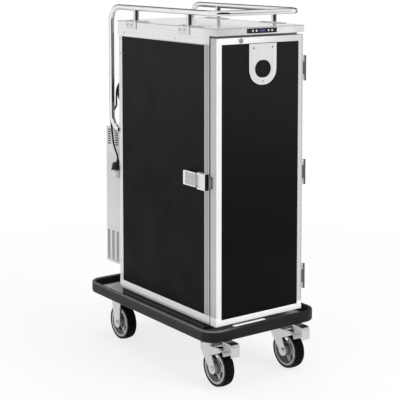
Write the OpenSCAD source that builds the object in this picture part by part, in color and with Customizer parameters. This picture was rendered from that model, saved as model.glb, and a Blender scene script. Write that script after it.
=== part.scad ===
// Refrigerated banquet trolley.
// Millimetres, +Z up, front towards -Y. The origin is on the floor, below the middle of the plan.

/* [Deck] */
// Length of the bumper ring, front to rear
deck_l = 910; // [880:5:960]
// Width of the bumper ring
deck_w = 540; // [520:5:580]
// Outer corner radius of the bumper ring
deck_r = 60; // [50:1:75]
// Height of the bumper ring
bumper_h = 46; // [42:1:52]
// How far the bumper ring hangs below the deck plate
bumper_drop = 9; // [7:0.5:12]
// Thickness of the deck plate
deck_t = 3; // [2:0.5:5]
// Length of the slot in the deck below the door
slot_w = 162; // [100:2:180]
// Width of the slot in the deck
slot_l = 22; // [14:1:26]
// Height of the channel frame between deck and cabinet
plinth_h = 35; // [30:1:45]

/* [Castors] */
// Overall height of a castor, floor to deck plate
castor_h = 206; // [200:1:215]
// Wheel diameter
wheel_d = 150; // [140:1:154]
// Tyre width
tyre_w = 42; // [36:1:46]
// Diameter of the wheel centre under the tyre
rim_d = 126; // [118:1:130]
// Distance from the side of the bumper to the middle of a wheel
wheel_in = 95; // [88:1:100]
// Axle diameter
axle_d = 12; // [10:0.5:14]
// How far the swivel axle trails its king pin
trail = 42; // [36:1:46]
// King pins behind the front of the bumper
king_front = 113; // [105:1:125]
// Rear axles in front of the rear of the bumper
axle_rear = 145; // [130:1:170]
// How far the brake pedals stand out in front of the bumper
pedal_out = 35; // [24:1:40]
// Radial running clearance of axles and pins
run = 0.05; // [0.03:0.01:0.08]

/* [Cabinet] */
// Cabinet width
cab_w = 424; // [410:2:440]
// Deck left free in front of the cabinet body
front_deck = 84; // [80:1:95]
// Deck left free behind the cabinet
rear_deck = 180; // [170:1:195]
// Wall thickness, skin to liner
wall_t = 30; // [28:1:34]
// Roof thickness above the liner
roof_t = 70; // [66:1:80]
// Visible width of the rear and bottom profiles
edge_w = 27; // [24:0.5:28]
// Depth of the front corner profiles
front_w = 31; // [28:0.5:36]
// Thickness of the black side skins
skin_t = 2; // [1.5:0.5:3]
// Thickness of stainless sheet
sheet_t = 1.2; // [1:0.1:2]

/* [Top] */
// How far the cap stands out past each side of the cabinet
cap_over = 3; // [3:0.5:6]
// Height of the side and rear skirts of the cap
skirt_h = 62; // [56:1:66]
// Height of the front fascia
fascia_h = 29; // [26:1:31]
// Overall height, floor to the top of the gallery rail
overall_h = 1450; // [1430:1:1480]
// Height of the gallery rail above the cap
rail_rise = 66; // [56:1:80]
// Diameter of the rail tube
tube_d = 22; // [20:0.5:25]
// Wall of the rail tube
tube_t = 1.5; // [1:0.25:2]
// Centre-line radius of the rail bends
bend_r = 60; // [50:1:70]
// Distance from the rear of the cabinet to the centre of a handle
handle_gap = 61; // [60:1:75]
// Distance from the side of the cabinet to the middle of the rail tube
rail_in = 3; // [1:0.5:5]
// Front tube of the rail behind the door front
rail_back = 10; // [0:1:20]
// Height of the handle ends above the top of the unit
handle_rise = 3; // [2:0.5:12]

/* [Door] */
// Door thickness
door_t = 38; // [34:1:42]
// Distance from the cabinet top down to the door
door_drop = 36; // [34:1:40]
// Width of the door frame profiles
stile_w = 24; // [23:0.5:29]
// Gap between the door and the cabinet, filled by the gasket
door_gap = 9; // [7:0.5:11]
// Hinge height
hinge_h = 100; // [80:2:120]
// Hinge pin diameter
pin_d = 6; // [5:0.5:7]
// Diameter of a hinge knuckle
knuckle_d = 10; // [9.5:0.5:12]
// Width of the card plate
card_w = 133; // [120:1:150]
// Height of the card plate
card_h = 159; // [150:1:180]
// Height of the hole in the card plate
card_hole_d = 68; // [60:1:80]
// How much wider than high the hole and the round foot of the card plate are
card_spread = 10; // [0:1:14]

/* [Controls] */
// Width of the control bezel
bezel_w = 144; // [130:1:160]
// Height of the control bezel
bezel_h = 19; // [15:0.5:21]
// Diameter of a button
button_d = 6.6; // [5:0.2:8]
// Travel of a button
button_travel = 1; // [0.6:0.1:1.4]
// Width of the display window
display_w = 34; // [28:1:40]

/* [Latch] */
// Height of the side latch
latch_h = 63; // [56:1:70]
// How far the latch stands out of the side
latch_out = 18; // [16:0.5:22]
// Length of the latch lever
lever_l = 98; // [80:1:110]
// Height of the latch middle above the cabinet bottom
latch_z = 553; // [500:1:600]

/* [Refrigeration unit] */
// Distance from the side of the cabinet to the side of the unit
unit_in = 18; // [16:1:24]
// Depth of the unit housing
unit_d = 134; // [130:1:140]
// Height of the unit housing
unit_h = 589; // [560:1:610]
// Bottom of the unit above the cabinet bottom
unit_z = 84; // [70:1:100]
// Diameter of the compressor can
can_d = 112; // [100:1:116]
// Diameter of the condenser fan
fan_d = 150; // [130:1:160]
// Diameter of the evaporator fan
evap_fan_d = 130; // [110:1:140]

/* [Interior] */
// Number of runner levels
levels = 6; // [4:1:6]
// Distance between runner levels
pitch = 150; // [120:5:170]
// Depth of the runner uprights, liner wall to runner
upright_d = 11.7; // [9:0.1:14]

/* [Cord] */
// Cord diameter
cord_d = 8; // [8:1:8]

/* [Hidden] */
$fn = 48;

// Small clearances
seat = 0.3;
mitre_gap = 0.2;

// Sheet of the cap
cap_t = 2;

// Deck levels and places
deck_front = -(deck_l + pedal_out) / 2;
deck_y0 = deck_front + pedal_out;
deck_y1 = deck_y0 + deck_l;
deck_mid = (deck_y0 + deck_y1) / 2;
deck_z0 = castor_h;
deck_z1 = deck_z0 + deck_t;
bumper_z = deck_z0 - bumper_drop;
rim_t = 14;
ledge_w = 24;
plinth_in = 8;

// Cabinet levels and places
cab_z0 = deck_z1 + plinth_h;
cab_z1 = overall_h - rail_rise - cap_t;
cab_h = cab_z1 - cab_z0;
cab_x = cab_w / 2;
cab_y0 = deck_y0 + front_deck;
cab_y1 = deck_y1 - rear_deck;
cab_l = cab_y1 - cab_y0;
cab_ym = (cab_y0 + cab_y1) / 2;
skin_in = 1;
sill_z = cab_z0 + wall_t;
head_z = cab_z1 - roof_t;
skirt_z = cab_z1 + cap_t - skirt_h;
top_edge_z = skirt_z - 4;
side_edge_z = cab_z0 + 33;

// Liner
liner_x = cab_x - wall_t - seat;
liner_y1 = cab_y1 - wall_t;
liner_z0 = sill_z + seat;
liner_z1 = head_z - seat;

// Door
door_y1 = cab_y0 - door_gap;
door_y0 = door_y1 - door_t;
door_h = cab_h - door_drop;
door_z0 = cab_z0;
door_z1 = door_z0 + door_h;
panel_x = cab_x - stile_w;
panel_y = door_y0 + 1;
hinge_x = cab_x + 11.5;
hinge_y = door_y0 + 2;
hinge_in = 132;
hinge_zs = [door_z0 + hinge_in, door_z0 + door_h / 2 + 3, door_z1 - hinge_in - 1];
leaf_t = 2.5;

// Cap
cap_x = cab_x + cap_over;
cap_z1 = cab_z1 + cap_t;
fascia_z = cap_z1 - fascia_h;

// Rail
tube_r = tube_d / 2;
rail_x = cab_x - rail_in;
rail_z = overall_h - tube_r;
rail_y0 = door_y0 + rail_back;
rail_y1 = cab_y1 + handle_gap;
post_ys = [cab_y0 + 133, cab_y1 - 133];
post_drop = 32;

// Refrigeration unit
unit_x = cab_x - unit_in;
unit_y0 = cab_y1 + seat;
unit_y1 = cab_y1 + unit_d;
unit_z0 = cab_z0 + unit_z;
unit_z1 = unit_z0 + unit_h;
handle_z = unit_z1 + handle_rise;

// Castors
wheel_r = wheel_d / 2;
king_y = deck_y0 + king_front;
front_axle_y = king_y - trail;
rear_axle_y = deck_y1 - axle_rear;
wheel_x = deck_w / 2 - wheel_in;
axle_r = axle_d / 2;
hub_w = tyre_w + 16;
leg_in = hub_w / 2 + 0.6;
leg_t = 4;
plate_t = 4;
plate_w = 100;
plate_l = 85;
bolt_x = plate_w / 2 - 11;
bolt_y = plate_l / 2 - 11;
race_r = 36;
king_r = 7;
crown_z = wheel_d + 10;
crown_l = 66;
race_h = 20;
race_z = deck_z0 - plate_t - race_h;

// Interior
evap_y = liner_y1 - 78;
tray_l = evap_y - cab_y0 - 16;
rack_y0 = cab_y0 + 10;
runner_z0 = liner_z0 + 26;
runner_t = 1.5;
rack_x = liner_x - sheet_t - seat - upright_d;
tray_w = 2 * (rack_x - 6);
shelf_levels = [1, 3, 5];

// Controls
bezel_x = 3;
bezel_z = (cap_z1 + fascia_z) / 2;
button_xs = [-43, -25, 34, 51];
display_x = 4;

// Latch
latch_mid = cab_z0 + latch_z;
latch_y = cab_y0 + 53;
lever_x = -cab_x - latch_out / 2;
lever_pin_r = 3;

// Outline of a rectangle with true round corners, centred
module round_rect(w, l, r) {
    square([w - 2 * r, l], center = true);
    square([w, l - 2 * r], center = true);
    for (sx = [-1, 1], sy = [-1, 1])
        translate([sx * (w / 2 - r), sy * (l / 2 - r)])
            circle(r);
}

// Sweeps a profile round a rectangle with round corners; profile x points outwards from the outline
module ring_sweep(w, l, r) {
    for (i = [0:3]) {
        across = i % 2 == 0 ? w : l;
        along = i % 2 == 0 ? l : w;
        rotate([0, 0, 90 * i]) {
            translate([across / 2, along / 2 - r, 0])
                rotate([90, 0, 0])
                    linear_extrude(along - 2 * r)
                        children();
            translate([across / 2 - r, along / 2 - r, 0])
                rotate_extrude(angle = 90, $fn = 64)
                    translate([r, 0])
                        children();
        }
    }
}

// Box given by its low and high corners
module span(lo, hi) {
    translate(lo)
        cube(hi - lo);
}

// Repeats its children on the right and, mirrored, on the left
module both_sides() {
    children();
    mirror([1, 0, 0])
        children();
}

// Rod from a to b
module rod(a, b, r) {
    d = b - a;
    len = norm(d);
    translate(a)
        rotate([0, acos(d[2] / len), atan2(d[1], d[0])])
            cylinder(r = r, h = len);
}

// Pipe along points, with a soldered ball at each bend
module pipe(pts, r) {
    for (i = [0:len(pts) - 2])
        rod(pts[i], pts[i + 1], r);
    for (i = [1:len(pts) - 2])
        translate(pts[i])
            sphere(r + 0.8);
}

// Deck

module bumper() {
    lip_r = rim_t / 2;
    color("#2a2a2b")
        translate([0, deck_mid, bumper_z])
            ring_sweep(deck_w, deck_l, deck_r)
                union() {
                    polygon([
                        [-rim_t - ledge_w, bumper_drop - 4], [-rim_t - ledge_w, bumper_drop],
                        [-rim_t, bumper_drop], [-rim_t, bumper_h - lip_r], [0, bumper_h - lip_r],
                        [0, 5], [-3, 0], [-rim_t + 2, 0], [-rim_t - 3, bumper_drop - 4]
                    ]);
                    translate([-lip_r, bumper_h - lip_r])
                        circle(lip_r);
                }
}

// Holes of one castor plate
module plate_holes() {
    for (sx = [-1, 1], sy = [-1, 1])
        translate([sx * bolt_x, sy * bolt_y])
            circle(4.2);
}

// Middle of each castor plate
castor_places = [
    [-wheel_x, king_y], [wheel_x, king_y],
    [-wheel_x, rear_axle_y], [wheel_x, rear_axle_y]
];

module deck_plate() {
    in = rim_t + seat;
    slot_y = cab_y0 + slot_l / 2 + 10;
    color("#8f9193")
        translate([0, 0, deck_z0])
            linear_extrude(deck_t)
                difference() {
                    translate([0, deck_mid])
                        round_rect(deck_w - 2 * in, deck_l - 2 * in, deck_r - in);
                    translate([0, slot_y])
                        round_rect(slot_w, slot_l, slot_l / 3);
                    for (p = castor_places)
                        translate(p)
                            plate_holes();
                }
}

module plinth_frame() {
    x = cab_x - plinth_in;
    y0 = cab_y0 + 46;
    y1 = cab_y1 - plinth_in;
    beam_w = 30;
    wall = 2.5;
    groove = 4;
    color("#3a3b3c")
        difference() {
            span([-x, y0, deck_z1], [x, y1, cab_z0]);
            span([-x + beam_w, y0 + beam_w, deck_z1 - 1], [x - beam_w, y1 - beam_w, cab_z0 + 1]);
            difference() {
                span([-x + wall, y0 + wall, deck_z1 + wall], [x - wall, y1 - wall, cab_z0 - groove - wall]);
                span(
                    [-x + beam_w - wall, y0 + beam_w - wall, deck_z1],
                    [x - beam_w + wall, y1 - beam_w + wall, cab_z0]
                );
            }
            difference() {
                span([-x - 1, y0 - 1, cab_z0 - groove], [x + 1, y1 + 1, cab_z0 + 1]);
                span([-x + groove, y0 + groove, deck_z1], [x - groove, y1 - groove, cab_z0 + 2]);
            }
            for (p = castor_places, sx = [-1, 1], sy = [-1, 1])
                translate([p[0] + sx * bolt_x, p[1] + sy * bolt_y, deck_z1 - 1])
                    cylinder(r = 9, h = 9);
        }
}

// Castors

// Hexagon bolt through the deck and a castor plate, head on top
module deck_bolt() {
    translate([0, 0, deck_z1])
        cylinder(r = 7.5, h = 5.3, $fn = 6);
    translate([0, 0, deck_z0 - plate_t - 8])
        cylinder(r = 4, h = 8 + plate_t + deck_t + 1, $fn = 24);
    translate([0, 0, deck_z0 - plate_t - 6.5])
        cylinder(r = 7.5, h = 6.5, $fn = 6);
}

// Outline of a fork leg, x towards the rear and y up, axle at the origin
module leg_outline(top, shift) {
    foot = 22;
    circle(foot);
    polygon([
        [-foot, 0], [shift - crown_l / 2, top - 24], [shift - crown_l / 2, top],
        [shift + crown_l / 2, top], [shift + crown_l / 2, top - 24], [foot, 0]
    ]);
}

// Two legs and a crown over one wheel, axle at [y, wheel_r]
module fork_body(axle_y, mid_y, top) {
    half = leg_in + leg_t;
    for (s = [-1, 1])
        translate([s * (leg_in + leg_t / 2), axle_y, wheel_r])
            rotate([90, 0, 90])
                linear_extrude(leg_t, center = true)
                    leg_outline(top - wheel_r, mid_y - axle_y);
    span([-half, mid_y - crown_l / 2, top - 5], [half, mid_y + crown_l / 2, top]);
}

// Axle bolt with a hexagon head and nut outside the legs
module axle_bolt(axle_y) {
    half = leg_in + leg_t;
    translate([0, axle_y, wheel_r])
        rotate([0, 90, 0]) {
            cylinder(r = axle_r, h = 2 * half + 10, center = true);
            for (s = [-1, 1])
                translate([0, 0, s * (half + 3.5)])
                    cylinder(r = 10, h = 7, center = true, $fn = 6);
        }
}

// Top plate of a castor
module castor_plate() {
    translate([0, 0, deck_z0 - plate_t])
        linear_extrude(plate_t)
            difference() {
                round_rect(plate_w, plate_l, 8);
                plate_holes();
            }
}

module castor_mounts() {
    color("#c9ccce") {
        for (s = [-1, 1])
            translate([s * wheel_x, king_y, 0]) {
                castor_plate();
                translate([0, 0, race_z])
                    rotate_extrude()
                        polygon([
                            [0, 0], [race_r - 4, 0], [race_r, 4], [race_r, 12],
                            [race_r - 8, race_h], [0, race_h]
                        ]);
                translate([0, 0, crown_z - 14])
                    cylinder(r = king_r, h = race_z - crown_z + 15);
                translate([0, 0, crown_z - 15])
                    cylinder(r = 12, h = 9, $fn = 6);
            }
        for (s = [-1, 1])
            translate([s * wheel_x, 0, 0]) {
                fork_body(rear_axle_y, rear_axle_y + 9, deck_z0 - plate_t);
                translate([0, rear_axle_y, 0])
                    castor_plate();
                axle_bolt(rear_axle_y);
            }
        for (p = castor_places, sx = [-1, 1], sy = [-1, 1])
            translate([p[0] + sx * bolt_x, p[1] + sy * bolt_y, 0])
                deck_bolt();
    }
}

// Swivel fork of a front castor with its lower race, brake ears and axle
module swivel_fork() {
    ear_y = pedal_pivot[0];
    ear_z = pedal_pivot[1];
    color("#d2d4d6") {
        difference() {
            union() {
                fork_body(front_axle_y, king_y, crown_z);
                translate([0, king_y, crown_z])
                    rotate_extrude()
                        polygon([
                            [0, 0], [race_r + 2, 0], [race_r + 2, 8],
                            [race_r - 3, race_z - crown_z - 2 * seat], [0, race_z - crown_z - 2 * seat]
                        ]);
                for (s = [-1, 1])
                    translate([s * (leg_in + leg_t / 2), 0, 0])
                        rotate([90, 0, 90])
                            linear_extrude(leg_t, center = true) {
                                translate([ear_y, ear_z])
                                    circle(9);
                                polygon([
                                    [ear_y, ear_z - 9], [ear_y, ear_z + 9],
                                    [king_y - crown_l / 2 + 4, crown_z],
                                    [king_y - crown_l / 2 + 4, crown_z - 38]
                                ]);
                            }
            }
            translate([0, king_y, crown_z - 6])
                cylinder(r = king_r + run, h = 40);
            translate([0, ear_y, ear_z])
                rotate([0, 90, 0])
                    cylinder(r = pedal_pin_r + run, h = 100, center = true);
        }
        axle_bolt(front_axle_y);
    }
}

module fork_left() {
    translate([-wheel_x, 0, 0])
        swivel_fork();
}

module fork_right() {
    translate([wheel_x, 0, 0])
        swivel_fork();
}

// Pivot of a brake pedal as [y, z]
pedal_pivot = [front_axle_y - 46, wheel_d + 7];
pedal_pin_r = 4;
pedal_w = 40;

// Stamped pedal with a shoe towards the tyre, a tread on top and a toe flap in front
module brake_pedal() {
    y = pedal_pivot[0];
    z = pedal_pivot[1];
    toe_y = deck_front;
    top = z + 34;
    hub_l = 2 * leg_in - 1;
    color("#dcdee0") {
        translate([0, y, z])
            rotate([0, 90, 0]) {
                cylinder(r = pedal_pin_r, h = 2 * (leg_in + leg_t) + 2, center = true);
                cylinder(r = 8, h = hub_l, center = true);
            }
        rotate([90, 0, 90])
            linear_extrude(pedal_w, center = true) {
                polygon([
                    [y - 8, z], [y - 8, top], [toe_y + 12, top], [toe_y + 4, top - 3],
                    [toe_y, top - 14], [toe_y, z - 16], [toe_y + 3, z - 16], [toe_y + 3, top - 15],
                    [toe_y + 7, top - 5], [toe_y + 13, top - 3.5], [y - 12, top - 3.5], [y - 12, z - 2]
                ]);
                polygon([
                    [y - 8, z], [y - 12, z - 12], [y - 12, z - 24], [y - 5.5, z - 22],
                    [y - 6, z - 14], [y + 2, z - 6], [y, z]
                ]);
            }
    }
}

module pedal_left() {
    translate([-wheel_x, 0, 0])
        brake_pedal();
}

module pedal_right() {
    translate([wheel_x, 0, 0])
        brake_pedal();
}

// Wheel centre with five spokes and a flanged rim, axle along X
module wheel_centre() {
    rim_r = rim_d / 2;
    hub_r = 20;
    web = 7;
    face = tyre_w / 2 + 0.5;
    spokes = 5;
    color("#b9bcbf")
        rotate([0, 90, 0])
            difference() {
                rotate_extrude($fn = 72)
                    polygon([
                        [axle_r + run, -hub_w / 2], [hub_r - 2, -hub_w / 2], [hub_r, -hub_w / 2 + 2],
                        [hub_r + 2, -web - 4], [hub_r + 7, -web], [rim_r - 15, -web], [rim_r - 10, -face + 2],
                        [rim_r - 8, -face], [rim_r - 1, -face], [rim_r, -face + 1],
                        [rim_r, face - 1], [rim_r - 1, face], [rim_r - 8, face],
                        [rim_r - 10, face - 2], [rim_r - 15, web], [hub_r + 7, web], [hub_r + 2, web + 4],
                        [hub_r, hub_w / 2 - 2], [hub_r - 2, hub_w / 2], [axle_r + run, hub_w / 2]
                    ]);
                for (i = [0:spokes - 1])
                    rotate([0, 0, 360 / spokes * i + 90])
                        linear_extrude(3 * web, center = true)
                            polygon([
                                [hub_r + 8, -7], [rim_r - 21, -20], [rim_r - 17, -11],
                                [rim_r - 17, 11], [rim_r - 21, 20], [hub_r + 8, 7]
                            ]);
            }
}

// Tyre with a crowned tread
module tyre() {
    rim_r = rim_d / 2;
    half = tyre_w / 2;
    side_r = wheel_r - 4.5;
    color("#1c1c1d")
        rotate([0, 90, 0])
            rotate_extrude($fn = 72) {
                polygon([
                    [rim_r + 0.1, -half + 1], [rim_r + 2, -half], [side_r, -half],
                    [side_r, half], [rim_r + 2, half], [rim_r + 0.1, half - 1]
                ]);
                intersection() {
                    translate([wheel_r - 4 * half, 0])
                        circle(4 * half, $fn = 96);
                    translate([side_r - 1, -half])
                        square([wheel_r - side_r + 1.1, 2 * half]);
                }
            }
}

module at_wheel(sx, y) {
    translate([sx * wheel_x, y, wheel_r])
        children();
}

module wheel_front_left() { at_wheel(-1, front_axle_y) wheel_centre(); }
module wheel_front_right() { at_wheel(1, front_axle_y) wheel_centre(); }
module wheel_rear_left() { at_wheel(-1, rear_axle_y) wheel_centre(); }
module wheel_rear_right() { at_wheel(1, rear_axle_y) wheel_centre(); }
module tyre_front_left() { at_wheel(-1, front_axle_y) tyre(); }
module tyre_front_right() { at_wheel(1, front_axle_y) tyre(); }
module tyre_rear_left() { at_wheel(-1, rear_axle_y) tyre(); }
module tyre_rear_right() { at_wheel(1, rear_axle_y) tyre(); }

// Cabinet

// Section of a front corner profile on the right, with a round corner and two grooves
module front_profile() {
    r = 3;
    difference() {
        union() {
            translate([cab_x - wall_t, cab_y0])
                square([wall_t - r, front_w]);
            translate([cab_x - wall_t, cab_y0 + r])
                square([wall_t, front_w - r]);
            translate([cab_x - r, cab_y0 + r])
                circle(r);
        }
        for (g = [9, 18])
            translate([cab_x - 1.5, cab_y0 + g])
                square([3, 1.6]);
    }
}

// Section of a rear corner profile on the right
module rear_profile() {
    r = 3;
    translate([cab_x - edge_w, cab_y1 - edge_w])
        square([edge_w - r, edge_w]);
    translate([cab_x - edge_w, cab_y1 - edge_w])
        square([edge_w, edge_w - r]);
    translate([cab_x - r, cab_y1 - r])
        circle(r);
}

module cabinet_frame() {
    lap = 1;
    x = cab_x - wall_t + lap;
    y0 = cab_y0 + front_w - lap;
    y1 = cab_y1 - edge_w + lap;
    color("#dfe1e2") {
        both_sides() {
            translate([0, 0, cab_z0])
                linear_extrude(cab_h)
                    front_profile();
            translate([0, 0, cab_z0])
                linear_extrude(cab_h)
                    rear_profile();
            span([cab_x - edge_w, y0, cab_z0], [cab_x, y1, side_edge_z]);
            span([cab_x - edge_w, y0, top_edge_z], [cab_x, y1, cab_z1]);
        }
        span([-x, cab_y1 - edge_w, cab_z0], [x, cab_y1, side_edge_z]);
        span([-x, cab_y1 - edge_w, top_edge_z], [x, cab_y1, cab_z1]);
        span([-x, cab_y0, cab_z0], [x, cab_y0 + front_w, sill_z]);
        span([-x, cab_y0, head_z], [x, cab_y0 + front_w, cab_z1]);
    }
}

// Black panel between the profiles of the right side
module side_skin() {
    color("#2b2b2c")
        span(
            [cab_x - skin_in - skin_t, cab_y0 + front_w + seat, side_edge_z + seat],
            [cab_x - skin_in, cab_y1 - edge_w - seat, top_edge_z - seat]
        );
}

module side_skin_right() {
    side_skin();
}

module side_skin_left() {
    mirror([1, 0, 0])
        side_skin();
}

module outer_sheets() {
    x = cab_x - edge_w - seat;
    y0 = cab_y0 + front_w + seat;
    y1 = cab_y1 - edge_w - seat;
    color("#d6d8da") {
        difference() {
            span(
                [-x, cab_y1 - skin_in - sheet_t, side_edge_z + seat],
                [x, cab_y1 - skin_in, top_edge_z - seat]
            );
            translate([pass_x, 0, pass_z])
                rotate([90, 0, 0])
                    cylinder(r = pass_r, h = 2 * deck_l, center = true);
        }
        span([-x, y0, cab_z0 + seat], [x, y1, cab_z0 + seat + sheet_t]);
        span([-x, y0, cab_z1 - sheet_t - seat], [x, y1, cab_z1 - seat]);
    }
}

// Sleeve for the refrigerant pipes through the rear wall
pass_x = 60;
pass_z = unit_z1 - 60;
pass_r = 16;

module cabinet_insulation() {
    x = cab_x - edge_w - 2 * seat;
    y0 = cab_y0 + front_w + seat;
    y1 = cab_y1 - edge_w - seat;
    skin_x = cab_x - skin_in - skin_t - seat;
    color("#e8dfb8")
        difference() {
            union() {
                span([-x, y0, cab_z0 + sheet_t + 2 * seat], [x, y1, cab_z1 - sheet_t - 2 * seat]);
                span([-skin_x, y0, side_edge_z + seat], [skin_x, y1, top_edge_z - seat]);
                span(
                    [-x, y1 - 1, side_edge_z + seat],
                    [x, cab_y1 - skin_in - sheet_t - seat, top_edge_z - seat]
                );
            }
            span(
                [-liner_x - seat, cab_y0 - 1, liner_z0 - seat],
                [liner_x + seat, liner_y1 + seat, liner_z1 + seat]
            );
            translate([pass_x, 0, pass_z])
                rotate([90, 0, 0])
                    cylinder(r = pass_r, h = 2 * deck_l, center = true);
        }
}

module inner_liner() {
    color("#cfd2d4")
        difference() {
            span([-liner_x, cab_y0, liner_z0], [liner_x, liner_y1, liner_z1]);
            span(
                [-liner_x + sheet_t, cab_y0 - 1, liner_z0 + sheet_t],
                [liner_x - sheet_t, liner_y1 - sheet_t, liner_z1 - sheet_t]
            );
            translate([pass_x, 0, pass_z])
                rotate([90, 0, 0])
                    cylinder(r = pass_r, h = 2 * deck_l, center = true);
        }
}

// Interior

module tray_runners() {
    wall_x = liner_x - sheet_t - seat;
    back_x = rack_x - seat;
    top = runner_z0 + pitch * (levels - 1) + 26;
    color("#c4c7c9")
        both_sides() {
            for (y = [rack_y0 + 18, rack_y0 + tray_l - 48])
                difference() {
                    span([rack_x, y, liner_z0 + sheet_t + seat], [wall_x, y + 30, top]);
                    span([rack_x + 2, y + 3, liner_z0 - 1], [wall_x + 1, y + 27, top + 1]);
                }
            for (i = [0:levels - 1])
                translate([0, rack_y0, runner_z0 + pitch * i]) {
                    span([back_x - 18, 0, 0], [back_x, tray_l, runner_t]);
                    span([back_x - runner_t, 0, 0], [back_x, tray_l, 16]);
                }
        }
}

module wire_shelves() {
    w = tray_w - 4;
    l = tray_l - 24;
    rim_r = 3.5;
    wire_r = 1.5;
    count = 11;
    for (level = shelf_levels)
        if (level < levels)
            translate([0, rack_y0 + tray_l / 2, runner_z0 + pitch * level + runner_t + seat + rim_r])
                color("#d9dbdd") {
                    ring_sweep(w - 2 * rim_r, l - 2 * rim_r, 16)
                        circle(rim_r, $fn = 24);
                    for (i = [0:count - 1])
                        translate([(i - (count - 1) / 2) * (w - 30) / (count - 1), 0, rim_r - 0.5])
                            rotate([90, 0, 0])
                                cylinder(r = wire_r, h = l - 2 * rim_r, center = true, $fn = 16);
                    for (s = [-1, 1])
                        translate([0, s * l / 6, 0])
                            rotate([0, 90, 0])
                                cylinder(r = 2.5, h = w - 2 * rim_r, center = true, $fn = 16);
                }
}

// Top

module top_cap() {
    t = cap_t;
    x = cap_x;
    color("#ccd0d2")
        difference() {
            union() {
                span([-x, cab_y0 - 5, skirt_z], [x, cab_y1 + seat + t, cap_z1]);
                span([-x, door_y0 - 1, fascia_z], [x, cab_y0 - 1, cap_z1]);
            }
            span([-x + t, cab_y0 - 6, skirt_z - 1], [x - t, cab_y1 + seat, cab_z1]);
            span([-x + t, door_y0 - 1 + t, fascia_z + t], [x - t, cab_y0, cab_z1]);
            span([-x + 16, door_y0 + 14, fascia_z - 1], [x - 16, cab_y0 - 6, fascia_z + t + 1]);
            translate([bezel_x, door_y0 - 1, bezel_z])
                cube([bezel_w - 12, 4 * t, bezel_h - 4], center = true);
        }
}

module control_bezel() {
    face_y = door_y0 - 1;
    color("#101012")
        translate([bezel_x, face_y, bezel_z])
            difference() {
                union() {
                    rotate([90, 0, 0])
                        linear_extrude(2.4)
                            round_rect(bezel_w, bezel_h, 3);
                    translate([0, 12, 0])
                        cube([bezel_w - 13, 24, bezel_h - 5], center = true);
                }
                for (bx = button_xs)
                    translate([bx - bezel_x, -3, 0])
                        rotate([-90, 0, 0])
                            cylinder(r = button_d / 2 + 0.15, h = 12);
                translate([display_x - bezel_x, -2.4, 0])
                    cube([display_w, 2.4, bezel_h - 5], center = true);
            }
}

module display_window() {
    color("#3b4a8a")
        translate([display_x, door_y0 - 2.85, bezel_z])
            cube([display_w - 2 * seat, 0.9, bezel_h - 5 - 2 * seat], center = true);
}

module button_at(i) {
    face_y = door_y0 - 1;
    color("#e9ecf2")
        translate([button_xs[i], face_y - 3.4, bezel_z])
            rotate([-90, 0, 0])
                cylinder(r = button_d / 2, h = 9 - button_travel);
}

module button_1() { button_at(0); }
module button_2() { button_at(1); }
module button_3() { button_at(2); }
module button_4() { button_at(3); }

// Straight piece of rail tube from a to b
module rail_straight(a, b) {
    difference() {
        rod(a, b, tube_r);
        rod(a, b, tube_r - tube_t);
    }
}

// Quarter bend of rail tube in the XY plane, from the X axis to the Y axis
module rail_bend() {
    rotate_extrude(angle = 90)
        translate([bend_r, 0])
            difference() {
                circle(tube_r);
                circle(tube_r - tube_t);
            }
}

module gallery_rail() {
    x = rail_x;
    b = bend_r;
    foot_t = 3;
    color("#dadcde") {
        both_sides() {
            rail_straight([x, cab_y1 + foot_t, handle_z], [x, rail_y1 - b, handle_z]);
            translate([x, rail_y1 - b, handle_z + b])
                rotate([90, 0, 90])
                    rotate([0, 0, -90])
                        rail_bend();
            rail_straight([x, rail_y1, handle_z + b], [x, rail_y1, rail_z - b]);
            translate([x, rail_y1 - b, rail_z - b])
                rotate([90, 0, 90])
                    rail_bend();
            rail_straight([x, rail_y0 + b, rail_z], [x, rail_y1 - b, rail_z]);
            translate([x - b, rail_y0 + b, rail_z])
                rotate([0, 0, -90])
                    rail_bend();
            span([unit_x + 0.5, cab_y1, handle_z - 28], [cab_x, cab_y1 + foot_t, handle_z + 28]);
        }
        rail_straight([-x + b, rail_y0, rail_z], [x - b, rail_y0, rail_z]);
    }
}

module rail_posts() {
    length = 140;
    angle_t = 2;
    flange = 30;
    side_l = 66;
    color("#d3d5d7")
        both_sides()
            for (y = post_ys) {
                difference() {
                    translate([rail_x, y, cap_z1 - post_drop])
                        cylinder(r = tube_r, h = rail_z - cap_z1 + post_drop);
                    translate([rail_x, y, rail_z])
                        rotate([90, 0, 0])
                            cylinder(r = tube_r + mitre_gap, h = 3 * tube_d, center = true);
                    span([0, y - 50, 0], [cap_x + angle_t, y + 50, cap_z1 + angle_t]);
                }
                span(
                    [cap_x + angle_t - flange, y - length / 2, cap_z1],
                    [cap_x + angle_t, y + length / 2, cap_z1 + angle_t]
                );
                span(
                    [cap_x + seat / 3, y - tube_r - 1, cap_z1 - flange - 2],
                    [cap_x + angle_t, y + side_l, cap_z1 + angle_t]
                );
            }
}

// Latch

module latch_body() {
    x0 = -cab_x - latch_out;
    ear_t = 6;
    color("#c3c6c9") {
        difference() {
            span([x0, cab_y0 + 2, latch_mid - latch_h / 2], [-cab_x, latch_y - 10, latch_mid + latch_h / 2]);
            span([x0 - 1, cab_y0 + 9, latch_mid - latch_h / 2 + 8], [x0 + 1, latch_y - 17, latch_mid + latch_h / 2 - 8]);
        }
        for (s = [-1, 1])
            translate([0, 0, latch_mid + s * (latch_h - ear_t) / 2])
                linear_extrude(ear_t, center = true) {
                    translate([lever_x, latch_y])
                        circle(latch_out / 2);
                    translate([x0, latch_y - 11])
                        square([latch_out, 11]);
                    translate([lever_x, latch_y - 11])
                        square([latch_out / 2, 20]);
                }
        translate([lever_x, latch_y, latch_mid])
            cylinder(r = lever_pin_r, h = latch_h - 2, center = true);
    }
}

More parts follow.
